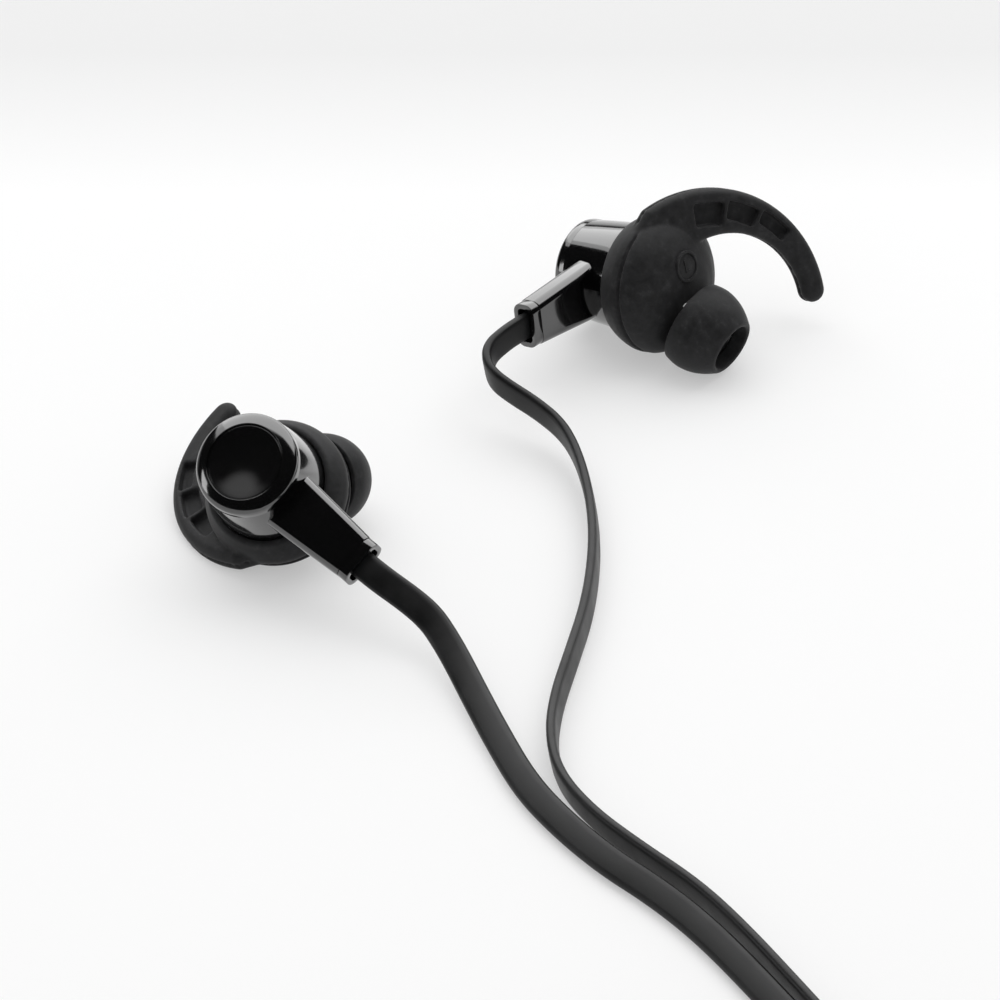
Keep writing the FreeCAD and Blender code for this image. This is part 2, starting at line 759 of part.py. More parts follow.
def splitter_port(side):
    """Where a branch cord meets the splitter's near face."""
    along = heading(size("splitter_turn"))
    across = heading(size("splitter_turn") + 90) * (-hand(side) * size("port_spacing") / 2)
    middle = Vector(size("splitter_x"), size("splitter_y"), 0)
    return middle - along * (size("splitter_length") / 2) + across


def make_branch_cord(side, route):
    place = earphone_frame(side)
    exits = [Vector(size("arm_reach") + lead, 0, -size("arm_depth")) for lead in (0, size("cord_lead"))]
    points = [place.multVec(point) for point in exits] + [Vector(*point) for point in route]
    port = splitter_port(side)
    port.z = points[-1].z
    points.append(port - heading(size("splitter_turn")) * size("port_lead"))
    points.append(port)
    return free_cord(side + "_branch_cord", points, size(side + "_roll"), size("branch_width"),
                     size("branch_thickness"))


def coil_heights():
    """The levels of the coil's two layers, clear of the tie that passes under them."""
    low = size("tie_thickness") + size("tie_gap") + size("trunk_width") / 2
    return low, low + size("trunk_width") + size("coil_layer_gap")


def coil_stations():
    """Points and headings along the coil: in on the lower layer, up in half a turn, and out on the upper one."""
    low, high = coil_heights()
    centre = Vector(size("coil_x"), size("coil_y"), 0)
    pitch = size("coil_pitch")
    turns_in = size("coil_turns_in")
    turns = turns_in + 0.5 + size("coil_turns_out")
    count = int(round(turns * size("coil_sides")))
    stations = []
    for number in range(count + 1):
        turn = turns * number / count
        climb = min(max(2 * (turn - turns_in), 0.0), 1.0)
        radius = size("coil_outer_radius") - pitch * min(turn, turns_in) - size("coil_climb_dip") * math.sin(
            math.pi * climb)
        radius += pitch * max(turn - turns_in - 0.5, 0.0)
        level = low + (high - low) * climb * climb * (3 - 2 * climb)
        slope = math.atan2((high - low) * 6 * climb * (1 - climb), math.pi * radius)
        angle = size("coil_start") - 360 * turn
        point = centre + heading(angle) * radius + Vector(0, 0, level)
        stations.append((point, heading(angle - 90) * math.cos(slope) + Vector(0, 0, math.sin(slope))))
    return stations


def least_self_gap(outlines):
    """The least distance between outlines of the coil that lie most of a turn apart or more."""
    apart = int(0.7 * size("coil_sides"))
    near = 2 * size("trunk_width")
    least = near
    for i, one in enumerate(outlines):
        for other in outlines[i + apart:]:
            if one[0].distanceToPoint(other[0]) < near:
                least = min([least] + [p.distanceToPoint(q) for p in one for q in other])
    return least


def make_coil():
    """The wound trunk, through one outline after another."""
    stations = coil_stations()
    sections = [flat_section(point, along, size("trunk_lean"), size("trunk_width"), size("trunk_thickness"))
                for point, along in stations]
    outlines = []
    for section in sections:
        corners = [vertex.Point for vertex in section.OrderedVertexes]
        outlines.append(corners + [(a + b) / 2 for a, b in zip(corners, corners[1:] + corners[:1])])
    coil = doc.addObject("Part::Feature", "trunk_coil")
    coil.Label = "trunk_coil"
    coil.Shape = Part.makeLoft(sections, True, True)
    length = sum(a[0].distanceToPoint(b[0]) for a, b in zip(stations, stations[1:]))
    print("trunk_coil length %.1f volume %.1f least gap to itself %.2f" % (
        length, coil.Shape.Volume, least_self_gap(outlines)))
    return coil


def make_lead_in():
    """The trunk from the splitter to where the coil starts."""
    low = coil_heights()[0]
    turn = heading(size("splitter_turn"))
    start = Vector(size("splitter_x"), size("splitter_y"), size("splitter_height") / 2)
    start += turn * (size("splitter_length") / 2)
    end, along = coil_stations()[0]
    middle = [Vector(x, y, start.z + (low - start.z) * (i + 1) / (len(LEAD_IN_ROUTE) + 1))
              for i, (x, y) in enumerate(LEAD_IN_ROUTE)]
    points = [start, start + turn * size("trunk_lead")] + middle + [end - along * size("coil_lead"), end]
    return free_cord("trunk_lead_in", points, size("trunk_lean"), size("trunk_width"), size("trunk_thickness"))


def tail_points():
    """The trunk from the coil's end to the plug, over the branch cords."""
    start, along = coil_stations()[-1]
    points = [start, start + along * size("tail_lead")] + [Vector(*point) for point in TAIL_ROUTE]
    for point in points[-2:]:
        point.z = size("plug_axis_height")
    return points


def make_tail():
    return free_cord("trunk_tail", tail_points(), size("trunk_lean"), size("trunk_width"),
                     size("trunk_thickness"))


def make_splitter():
    """Two halves of a tapered block. The branch cords enter its wide end."""
    halves = []
    for name, low, high in (("bottom", "0", "splitter_height / 2 - shell_gap / 2"),
                            ("top", "splitter_height / 2 + shell_gap / 2", "splitter_height")):
        body = new_body("splitter_" + name)
        corners = [
            ("-splitter_length / 2", "-splitter_width / 2"),
            ("splitter_length / 2 - splitter_corner", "-splitter_end_width / 2"),
            ("splitter_length / 2", "-splitter_end_width / 2 + splitter_corner"),
            ("splitter_length / 2", "splitter_end_width / 2 - splitter_corner"),
            ("splitter_length / 2 - splitter_corner", "splitter_end_width / 2"),
            ("-splitter_length / 2", "splitter_width / 2"),
        ]
        arcs = {1: ("splitter_corner", 1), 3: ("splitter_corner", 1)}
        plane = datum_plane(body, name + "_floor", "XY_Plane", Placement(Vector(0, 0, worth(low)), Rotation()))
        plane.setExpression(".AttachmentOffset.Base.z", bound(low))
        block = extrude(body, name + "_block", sketch_on(body, name + "_outline", plane, [(corners, arcs)]),
                        "%s - (%s)" % (high, low))
        doc.recompute()
        level = worth(high) if name == "top" else worth(low)
        names = []
        for number, edge in enumerate(block.Shape.Edges, start=1):
            box = edge.BoundBox
            flat = abs(box.ZMin - level) < 0.001 and abs(box.ZMax - level) < 0.001
            if flat and box.XMax > 0.01 - size("splitter_length") / 2:
                names.append("Edge%d" % number)
        rounding = body.newObject("PartDesign::Chamfer", name + "_edge")
        rounding.Base = (block, names)
        rounding.setExpression("Size", bound("splitter_edge"))
        body.Tip = rounding
        body.Placement = Placement(Vector(size("splitter_x"), size("splitter_y"), 0),
                                   Rotation(Vector(0, 0, 1), size("splitter_turn")))
        halves.append(body)
    return halves


def make_tie():
    """A band round one side of the coil, square to its turns."""
    body = new_body("cord_tie")
    low, high = coil_heights()
    height = "2 * trunk_width + coil_layer_gap + 2 * tie_gap"
    width = "(tie_turns - 1) * coil_pitch + trunk_thickness + 2 * tie_side_gap"
    outer = round_box("%s + 2 * tie_thickness" % width, "%s + 2 * tie_thickness" % height,
                      "tie_corner + tie_thickness")
    inner = round_box(width, height, "tie_corner")
    sketch = sketch_on(body, "band_outline", origin_plane(body, "YZ_Plane"), [outer, inner])
    extrude(body, "band", sketch, "tie_width", symmetric=True)
    inside = size("coil_outer_radius") - size("coil_turns_in") * size("coil_pitch")
    first = (size("coil_start") - size("tie_turn") - 180) % 360 / 360
    radius = inside + (first + (size("tie_turns") - 1) / 2) * size("coil_pitch")
    point = Vector(size("coil_x"), size("coil_y"), (low + high) / 2) + heading(size("tie_turn")) * radius
    body.Placement = Placement(point, Rotation(Vector(0, 0, 1), size("tie_turn") - 90))
    return body


def plug_piece(name, corners, arcs=None):
    body = new_body(name)
    revolve(body, name + "_turning", origin_plane(body, "XZ_Plane"), corners, arcs)
    return body


def make_plug():
    """Strain relief, grip and contacts, along z from where the cord ends."""
    relief = [("0", "0"), ("relief_start_radius", "0")]
    slope = "(relief_end_radius - relief_start_radius) / relief_length"
    for number in range(int(size("relief_grooves"))):
        start = "(%d + groove_start) * relief_pitch" % number
        end = "(%d + groove_end) * relief_pitch" % number
        for at, depth in ((start, "0"), (start, "relief_groove"), (end, "relief_groove"), (end, "0")):
            relief.append(("relief_start_radius + %s * %s - %s" % (slope, at, depth), at))
    relief += [("relief_end_radius", "relief_length"), ("0", "relief_length")]
    top = "(relief_length + grip_length)"
    grip = [
        ("0", "relief_length"), ("relief_end_radius", "relief_length"),
        ("grip_radius", "relief_length + grip_shoulder"), ("grip_radius", top + " - grip_shoulder"),
        ("grip_radius - grip_end_step", top), ("0", top),
    ]
    sleeve_end = top + " + pin_sleeve_length"
    ring_start = sleeve_end + " + pin_insulator"
    ring_end = ring_start + " + pin_ring_length"
    tip_start = ring_end + " + pin_insulator"
    tip_end = tip_start + " + pin_tip_length"
    core = "(pin_radius / 2)"
    hole = core + " + shell_gap"
    sleeve = [(hole, top), ("pin_radius", top), ("pin_radius", sleeve_end), (hole, sleeve_end)]
    ring = [(hole, ring_start), ("pin_radius", ring_start), ("pin_radius", ring_end), (hole, ring_end)]
    insulators = [
        ("0", top), (core, top), (core, sleeve_end), ("pin_radius", sleeve_end),
        ("pin_radius", ring_start), (core, ring_start), (core, ring_end),
        ("pin_radius", ring_end), ("pin_radius", tip_start), ("0", tip_start),
    ]
    tip = [
        ("0", tip_start), ("pin_radius", tip_start), ("pin_radius", tip_start + " + pin_tip_land"),
        ("pin_neck_radius", tip_start + " + pin_neck_start"),
        ("pin_radius - pin_bulb_step", tip_end + " - pin_bulb_length"),
        ("pin_radius / 3", tip_end), ("0", tip_end),
    ]
    pieces = [
        plug_piece("plug_strain_relief", relief), plug_piece("plug_grip", grip),
        plug_piece("plug_sleeve_contact", sleeve), plug_piece("plug_ring_contact", ring),
        plug_piece("plug_insulators", insulators), plug_piece("plug_tip_contact", tip),
    ]
    before, end = tail_points()[-2:]
    place = Placement(end, Rotation(Vector(0, 0, 1), end - before))
    for body in pieces:
        body.Placement = place
    return pieces


nodes = []
for side in ("right", "left"):
    place = earphone_frame(side)
    outer = [make_back_cap(side), make_rear_housing(side), make_front_housing(side), make_collar(side),
             make_fin_sleeve(side)]
    outer += make_driver(side)
    for body in outer:
        body.Placement = place
    nodes += outer
    for body in (make_nozzle_mesh(side), make_ear_tip(side)):
        body.Placement = place * nozzle_frame(side)
        nodes.append(body)
nodes.append(make_branch_cord("right", RIGHT_ROUTE))
nodes.append(make_branch_cord("left", LEFT_ROUTE))
nodes += make_splitter()
nodes += [make_lead_in(), make_coil(), make_tail(), make_tie()]
nodes += make_plug()

doc.recompute()
for item in doc.Objects:
    if "Invalid" in item.State or "Error" in item.State:
        raise RuntimeError("%s failed: %s" % (item.Label, item.State))
for item in nodes:
    if item.Shape.isNull() or not item.Shape.isValid():
        raise RuntimeError(item.Label + " has no valid solid")
os.makedirs("parts", exist_ok=True)
for item in nodes:
    box = item.Shape.BoundBox
    print("%-22s %d solids %9.3f mm3  z from %.2f to %.2f" % (
        item.Label, len(item.Shape.Solids), item.Shape.Volume, box.ZMin, box.ZMax))
    item.Shape.exportStep("parts/%s.step" % item.Label)
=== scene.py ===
import math

import bmesh
import bpy
from mathutils import Euler, Matrix, Vector


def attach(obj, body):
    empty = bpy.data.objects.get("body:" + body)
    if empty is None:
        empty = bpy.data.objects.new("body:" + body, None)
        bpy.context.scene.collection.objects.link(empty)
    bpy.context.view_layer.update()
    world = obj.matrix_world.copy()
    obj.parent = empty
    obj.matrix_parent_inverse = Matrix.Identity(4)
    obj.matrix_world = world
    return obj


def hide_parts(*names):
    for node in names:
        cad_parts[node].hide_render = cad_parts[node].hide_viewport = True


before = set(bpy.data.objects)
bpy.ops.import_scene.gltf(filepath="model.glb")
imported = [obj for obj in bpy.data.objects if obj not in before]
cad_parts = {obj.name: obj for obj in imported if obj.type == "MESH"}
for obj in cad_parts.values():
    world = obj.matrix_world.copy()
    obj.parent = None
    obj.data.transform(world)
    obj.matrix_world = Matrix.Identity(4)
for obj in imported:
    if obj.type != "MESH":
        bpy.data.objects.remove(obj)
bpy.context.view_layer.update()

# Wired sport earphones. Shapes are given in millimetres in each piece's own frame and scaled to metres
# when the piece is set in place.

MM = 0.001
BODY = "earphones"
ROUND_STEPS = 96

# Middle of the cap's face, then the turns about x, y and z, and 1 or -1 for the hand.
EARPHONES = {
    "right": ((-28.36, -25.06, 15.58), (39.0, 15.5, -43.4), 1),
    "left": ((8.79, 30.34, 6.36), (100.7, -2.7, -129.1), -1),
}
ARM_END = 16.44
ARM_DEPTH = 4.46
NOZZLE_ROOT = (0.58, 2.58, -13.0)
NOZZLE_TILT = 25.4
NOZZLE_TURN = 94.6
FIN_MIDDLE = (0.81, -0.43, -12.87)
FIN_TILT = 26.0
FIN_TURN = 152.4

# How far each sleeve is turned on its earphone, in degrees about the shell.
SLEEVE_TURN = {"right": 6.5, "left": -1.5}

# The soft fin is pressed flat where it lies on the table.
FLOOR_REST = 0.02 * MM


def bud_place(side):
    """The matrix from an earphone's own millimetres to the table's metres."""
    middle, turns, hand = EARPHONES[side]
    turn = Euler([math.radians(a) for a in turns]).to_matrix().to_4x4()
    return Matrix.Translation(Vector(middle) * MM) @ turn @ Matrix.Diagonal((MM, hand * MM, MM, 1))


def nozzle_place(side):
    """The nozzle's frame on an earphone, z out along the nozzle."""
    tilt = math.radians(NOZZLE_TILT)
    turn = math.radians(NOZZLE_TURN)
    out = Vector((math.sin(tilt) * math.cos(turn), math.sin(tilt) * math.sin(turn), -math.cos(tilt)))
    swing = Vector((0, 0, 1)).rotation_difference(out).to_matrix().to_4x4()
    return bud_place(side) @ Matrix.Translation(NOZZLE_ROOT) @ swing


def table_place(middle, turn):
    """The matrix from a piece's own millimetres to a place on the table, turned about z."""
    turned_by = Matrix.Rotation(math.radians(turn), 4, "Z")
    return Matrix.Translation(Vector(middle) * MM) @ turned_by @ Matrix.Scale(MM, 4)


def fin_place():
    """The fin's plane on an earphone, in its own millimetres."""
    turn = math.radians(FIN_TURN)
    lean = Matrix.Rotation(math.radians(FIN_TILT), 4, (-math.sin(turn), math.cos(turn), 0))
    return Matrix.Translation(FIN_MIDDLE) @ lean


# ---------------------------------------------------------------- shaping

def round_corners(bm, corners):
    """Round the corners of a wire, each by its own radius."""
    for radius in sorted({r for _, r in corners if r > 0}):
        picked = [v for v, r in corners if r == radius]
        bmesh.ops.bevel(bm, geom=picked, offset=radius, offset_type="OFFSET", segments=4, profile=0.5,
                        affect="VERTICES", material=-1)


def turned(profile, closed=False, steps=ROUND_STEPS):
    """A shape turned about z from corners of radius, height and rounding."""
    bm = bmesh.new()
    verts = [bm.verts.new((c[0], 0, c[1])) for c in profile]
    for a, b in zip(verts, verts[1:]):
        bm.edges.new((a, b))
    if closed:
        bm.edges.new((verts[-1], verts[0]))
    round_corners(bm, [(v, c[2] if len(c) > 2 else 0) for v, c in zip(verts, profile)])
    bmesh.ops.spin(bm, geom=bm.verts[:] + bm.edges[:], cent=(0, 0, 0), axis=(0, 0, 1),
                   angle=2 * math.pi, steps=steps, use_merge=True)
    clean(bm)
    return bm


def clean(bm):
    bmesh.ops.remove_doubles(bm, verts=bm.verts[:], dist=1e-4)
    bmesh.ops.dissolve_degenerate(bm, dist=1e-5, edges=bm.edges[:])
    bmesh.ops.recalc_face_normals(bm, faces=bm.faces[:])


def block(low, high):
    """A plain box between two corners."""
    bm = bmesh.new()
    bmesh.ops.create_cube(bm, size=1)
    bmesh.ops.scale(bm, vec=Vector(high) - Vector(low), verts=bm.verts[:])
    bmesh.ops.translate(bm, vec=(Vector(low) + Vector(high)) / 2, verts=bm.verts[:])
    return bm


def soften(bm, edges, radius, segments=4):
    bmesh.ops.bevel(bm, geom=edges, offset=radius, offset_type="OFFSET", segments=segments, profile=0.5,
                    affect="EDGES", clamp_overlap=True, material=-1)


def edges_along(bm, axis):
    """Edges that run mostly along one axis."""
    def runs(edge):
        step = edge.verts[1].co - edge.verts[0].co
        return abs(step[axis]) > 0.9 * step.length
    return [e for e in bm.edges if runs(e)]


def add_to(bm, other):
    """Put a second shape beside the first in one mesh."""
    held = bpy.data.meshes.new("held")
    other.to_mesh(held)
    other.free()
    bm.from_mesh(held)
    bpy.data.meshes.remove(held)


def verts_in(geom):
    return [g for g in geom if isinstance(g, bmesh.types.BMVert)]


def arc_from(bm, vert, centre, angle, steps):
    """Draw an arc on from a point, about a centre in its plane. Returns the last point."""
    made = bmesh.ops.spin(bm, geom=[vert], cent=(centre[0], centre[1], 0), axis=(0, 0, 1),
                          angle=math.radians(angle), steps=steps)
    return verts_in(made["geom_last"])[0]


def thicken(bm, thickness):
    """Raise a flat shape along z into a solid."""
    made = bmesh.ops.extrude_face_region(bm, geom=bm.faces[:])
    bmesh.ops.translate(bm, vec=(0, 0, thickness), verts=verts_in(made["geom"]))
    bmesh.ops.recalc_face_normals(bm, faces=bm.faces[:])


def linked(name, data):
    """A new object in the scene for a mesh, curve, text, lamp or camera."""
    made = bpy.data.objects.new(name, data)
    bpy.context.scene.collection.objects.link(made)
    return made


def as_object(bm, name):
    mesh = bpy.data.meshes.new(name)
    bm.to_mesh(mesh)
    bm.free()
    return linked(name, mesh)


def evaluated(obj):
    """What a mesh with modifiers, a curve or a text stands for now, as a bmesh."""
    bpy.context.view_layer.update()
    done = obj.evaluated_get(bpy.context.evaluated_depsgraph_get())
    bm = bmesh.new()
    bm.from_mesh(done.to_mesh())
    done.to_mesh_clear()
    return bm


def drop(obj):
    """Remove a scratch object with its mesh, curve or text."""
    data = obj.data
    bpy.data.objects.remove(obj)
    held = bpy.data.meshes if isinstance(data, bpy.types.Mesh) else bpy.data.curves
    held.remove(data)


def finished(obj):
    """The same for an object that isn't needed any more."""
    bm = evaluated(obj)
    drop(obj)
    return bm


def combined(first, others):
    """Join or cut solids: others are pairs of UNION or DIFFERENCE and a bmesh."""
    base = as_object(first, "base")
    tools = []
    for number, (kind, tool) in enumerate(others):
        other = as_object(tool, "tool_%d" % number)
        step = base.modifiers.new(kind.lower(), "BOOLEAN")
        step.operation = kind
        step.solver = "EXACT"
        step.object = other
        tools.append(other)
    made = finished(base)
    for other in tools:
        drop(other)
    return made


def moulded(bm, voxel, passes):
    """Melt a solid's edges as soft moulded silicone has them."""
    obj = as_object(bm, "melt")
    melt = obj.modifiers.new("melt", "REMESH")
    melt.mode = "VOXEL"
    melt.voxel_size = voxel
    made = finished(obj)
    for _ in range(passes):
        bmesh.ops.smooth_vert(made, verts=made.verts[:], factor=0.5, use_axis_x=True, use_axis_y=True,
                              use_axis_z=True)
    return made


def shade(bm, angle):
    for face in bm.faces:
        face.smooth = True
    for edge in bm.edges:
        edge.smooth = not (edge.is_manifold and edge.calc_face_angle(0) > math.radians(angle))


def piece(name, bm, matrix, material, nodes=(), body=BODY, sharp=30):
    """Set a finished shape in place as a piece that rides on its body and stands for its nodes.

    Edges that fold by more than sharp, in degrees, are shaded hard.
    """
    bm.transform(matrix)
    if matrix.determinant() < 0:
        bmesh.ops.reverse_faces(bm, faces=bm.faces[:])
    shade(bm, sharp)
    made = as_object(bm, name)
    made.data.materials.append(material)
    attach(made, body)
    if nodes:
        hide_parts(*nodes)
    return made


# ---------------------------------------------------------------- finishes

def new_finish(name):
    material = bpy.data.materials.new(name)
    material.use_nodes = True
    tree = material.node_tree
    shader = tree.nodes["Principled BSDF"]
    return material, tree, shader


def object_place(tree):
    return tree.nodes.new("ShaderNodeTexCoord").outputs["Object"]


def noise(tree, scale, detail=4.0, roughness=0.55):
    made = tree.nodes.new("ShaderNodeTexNoise")
    made.inputs["Scale"].default_value = scale
    made.inputs["Detail"].default_value = detail
    made.inputs["Roughness"].default_value = roughness
    tree.links.new(object_place(tree), made.inputs["Vector"])
    return made.outputs["Fac"]


def ramp(tree, source, stops):
    """Colours or greys along a value, as pairs of place and colour."""
    made = tree.nodes.new("ShaderNodeValToRGB")
    band = made.color_ramp
    while len(band.elements) < len(stops):
        band.elements.new(0.5)
    for element, (at, colour) in zip(band.elements, stops):
        element.position = at
        element.color = (*colour, 1) if isinstance(colour, tuple) else (colour, colour, colour, 1)
    tree.links.new(source, made.inputs["Fac"])
    return made.outputs["Color"]


def bump(tree, shader, source, strength, distance):
    made = tree.nodes.new("ShaderNodeBump")
    made.inputs["Strength"].default_value = strength
    made.inputs["Distance"].default_value = distance
    tree.links.new(source, made.inputs["Height"])
    old = shader.inputs["Normal"].links
    if old:
        tree.links.new(old[0].from_socket, made.inputs["Normal"])
    tree.links.new(made.outputs["Normal"], shader.inputs["Normal"])


def gloss_black():
    """Polished black plastic with faint handling haze."""
    material, tree, shader = new_finish("gloss_black_plastic")
    shader.inputs["Base Color"].default_value = (0.0022, 0.0022, 0.0024, 1)
    shader.inputs["Specular IOR Level"].default_value = 0.75
    shader.inputs["Coat Weight"].default_value = 1
    shader.inputs["Coat Roughness"].default_value = 0.05
    haze = noise(tree, 260, 5)
    tree.links.new(ramp(tree, haze, [(0.3, 0.07), (0.7, 0.15)]), shader.inputs["Roughness"])
    bump(tree, shader, noise(tree, 900, 3), 0.04, 0.00004)
    return material


def satin_black(name, base, low, high):
    """Moulded plastic with a fine spark grain."""
    material, tree, shader = new_finish(name)
    grain = noise(tree, 5200, 3)
    tree.links.new(ramp(tree, noise(tree, 420, 5), [(0.3, low), (0.7, high)]), shader.inputs["Roughness"])
    tree.links.new(ramp(tree, noise(tree, 700, 4), [(0.3, base * 0.8), (0.75, base * 1.3)]),
                   shader.inputs["Base Color"])
    bump(tree, shader, grain, 0.12, 0.00004)
    return material


def dusty_silicone():
    """Matte black silicone with a mottled bloom and dust."""
    material, tree, shader = new_finish("dusty_silicone")
    bloom = noise(tree, 950, 6, 0.62)
    colour = ramp(tree, bloom, [(0.28, (0.012, 0.012, 0.0125)), (0.58, (0.022, 0.022, 0.023)),
                                (0.80, (0.042, 0.042, 0.043))])
    tree.links.new(colour, shader.inputs["Base Color"])
    tree.links.new(ramp(tree, bloom, [(0.3, 0.48), (0.7, 0.62)]), shader.inputs["Roughness"])
    shader.inputs["Specular IOR Level"].default_value = 0.14
    shader.inputs["Sheen Weight"].default_value = 0.08
    shader.inputs["Sheen Roughness"].default_value = 0.45
    bump(tree, shader, noise(tree, 3800, 4), 0.25, 0.00005)
    bump(tree, shader, noise(tree, 420, 2), 0.12, 0.00015)
    return material


def cord_rubber():
    """Soft extruded cord jacket, faintly drawn along its length."""
    material, tree, shader = new_finish("cord_rubber")
    cloud = noise(tree, 300, 5)
    tree.links.new(ramp(tree, cloud, [(0.3, (0.005, 0.005, 0.0052)), (0.75, (0.011, 0.011, 0.0115))]),
                   shader.inputs["Base Color"])
    tree.links.new(ramp(tree, cloud, [(0.3, 0.36), (0.7, 0.48)]), shader.inputs["Roughness"])
    shader.inputs["Specular IOR Level"].default_value = 0.28
    bump(tree, shader, noise(tree, 4200, 3), 0.15, 0.00004)
    return material


def metal(name, colour, low, high):
    material, tree, shader = new_finish(name)
    shader.inputs["Metallic"].default_value = 1
    tree.links.new(ramp(tree, noise(tree, 600, 4), [(0.3, tuple(c * 0.86 for c in colour)), (0.7, colour)]),
                   shader.inputs["Base Color"])
    tree.links.new(ramp(tree, noise(tree, 1500, 4), [(0.3, low), (0.7, high)]), shader.inputs["Roughness"])
    bump(tree, shader, noise(tree, 6000, 2), 0.06, 0.00002)
    return material


GLOSS = gloss_black()
SATIN = satin_black("satin_black_plastic", 0.012, 0.34, 0.46)
RING_PLASTIC = satin_black("insulator_plastic", 0.02, 0.3, 0.4)
SILICONE = dusty_silicone()
RUBBER = cord_rubber()
STEEL = metal("steel_mesh", (0.42, 0.42, 0.43), 0.32, 0.5)
DRIVER_STEEL = metal("driver_metal", (0.55, 0.55, 0.56), 0.3, 0.45)
GOLD = metal("plated_contact", (0.93, 0.67, 0.27), 0.16, 0.28)


# ---------------------------------------------------------------- camera, floor and light

# The lamps face this point, in metres.
LIGHT_TARGET = Vector((-0.02, -0.02, 0.012))

# The camera that matches the photograph, in degrees and millimetres.
VIEW_ELEVATION = 33.6
VIEW_DISTANCE = 683.306
VIEW_TARGET = (-1.0, -8.86, 0.0)
VIEW_LENS = 221.57

# The floor is this pale near the object, and a painted shade greys it a little behind it, between two
# distances in metres.
FLOOR_NEAR_TONE = 0.965
FLOOR_FAR_SHADE_TONE = 0.83
FLOOR_SHADE_FROM = 0.058
FLOOR_SHADE_TO = 0.092
# What the camera sees of the floor is this share of its plain tone, and the rest is lit.
FLOOR_PLAIN_SHARE = 0.42

# Light that matte faces get from all round, then what polished faces see: backdrop, glow and the rest.
ROOM_FILL = 0.58
BACKDROP_TONE = 0.85
BACKDROP_BANDS = (("Z", 0.23, 0.09), ("Y", 0.2, 0.7))
ROOM_DARK = 0.012
GLOW_RISE = 62
GLOW_BEARING = -92
GLOW_EDGE = 12
GLOW_CORE = 5
GLOW_TONE = 0.55


def make_camera():
    data = bpy.data.cameras.new("photo_camera")
    data.sensor_width = 36
    data.lens = VIEW_LENS
    data.clip_start = 0.05
    data.clip_end = 20
    camera = linked("photo_camera", data)
    rise = math.radians(VIEW_ELEVATION)
    back = Vector((0, -math.cos(rise), math.sin(rise)))
    camera.location = (Vector(VIEW_TARGET) + VIEW_DISTANCE * back) * MM
    camera.rotation_euler = (math.pi / 2 - rise, 0, 0)
    bpy.context.scene.camera = camera


def pale_floor():
    """A white sweep that keeps the object's shadow, with a painted shade that greys it a little far behind
    it.
    """
    material, tree, shader = new_finish("pale_floor")
    shader.inputs["Roughness"].default_value = 0.9
    shader.inputs["Specular IOR Level"].default_value = 0.2
    split = tree.nodes.new("ShaderNodeSeparateXYZ")
    tree.links.new(object_place(tree), split.inputs[0])
    reach = tree.nodes.new("ShaderNodeMapRange")
    reach.inputs["From Min"].default_value = FLOOR_SHADE_FROM
    reach.inputs["From Max"].default_value = FLOOR_SHADE_TO
    tree.links.new(split.outputs["Y"], reach.inputs["Value"])
    # painted shade: the floor's tone darkens between the two distances behind the object
    tone = ramp(tree, reach.outputs["Result"], [(0.0, FLOOR_NEAR_TONE), (1.0, FLOOR_FAR_SHADE_TONE)])
    tree.links.new(tone, shader.inputs["Base Color"])
    glow = tree.nodes.new("ShaderNodeEmission")
    tree.links.new(tone, glow.inputs["Color"])
    glow.inputs["Strength"].default_value = 1
    seen = tree.nodes.new("ShaderNodeLightPath")
    total = seen.outputs["Is Camera Ray"]
    for other in ("Is Glossy Ray", "Is Transmission Ray"):
        add = tree.nodes.new("ShaderNodeMath")
        add.operation = "MAXIMUM"
        tree.links.new(total, add.inputs[0])
        tree.links.new(seen.outputs[other], add.inputs[1])
        total = add.outputs[0]
    share = tree.nodes.new("ShaderNodeMath")
    share.operation = "MULTIPLY"
    share.inputs[1].default_value = FLOOR_PLAIN_SHARE
    tree.links.new(total, share.inputs[0])
    mixed = tree.nodes.new("ShaderNodeMixShader")
    tree.links.new(share.outputs[0], mixed.inputs[0])
    tree.links.new(shader.outputs[0], mixed.inputs[1])
    tree.links.new(glow.outputs[0], mixed.inputs[2])
    tree.links.new(mixed.outputs[0], tree.nodes["Material Output"].inputs["Surface"])
    return material


def make_floor():
    bm = bmesh.new()
    bmesh.ops.create_grid(bm, x_segments=2, y_segments=2, size=4)
    floor = as_object(bm, "floor")
    floor.data.materials.append(pale_floor())


def softbox(name, bearing, rise, distance, width, height, watts, roll=0, card=False):
    """A flat lamp that faces the object from a bearing (0 is behind it, 90 right) and a rise, in degrees.

    Sizes are in metres. A card lights nothing matte: only glossy faces show it.
    """
    data = bpy.data.lights.new(name, "AREA")
    data.shape = "RECTANGLE"
    data.size = width
    data.size_y = height
    data.energy = watts
    lamp = linked(name, data)
    turn = Euler((math.radians(rise), 0, -math.radians(bearing)))
    lamp.location = LIGHT_TARGET + turn.to_matrix() @ Vector((0, distance, 0))
    lamp.rotation_euler = (LIGHT_TARGET - lamp.location).to_track_quat("-Z", "Y").to_euler()
    lamp.rotation_euler.rotate_axis("Z", math.radians(roll))
    lamp.visible_camera = False
    lamp.visible_diffuse = not card


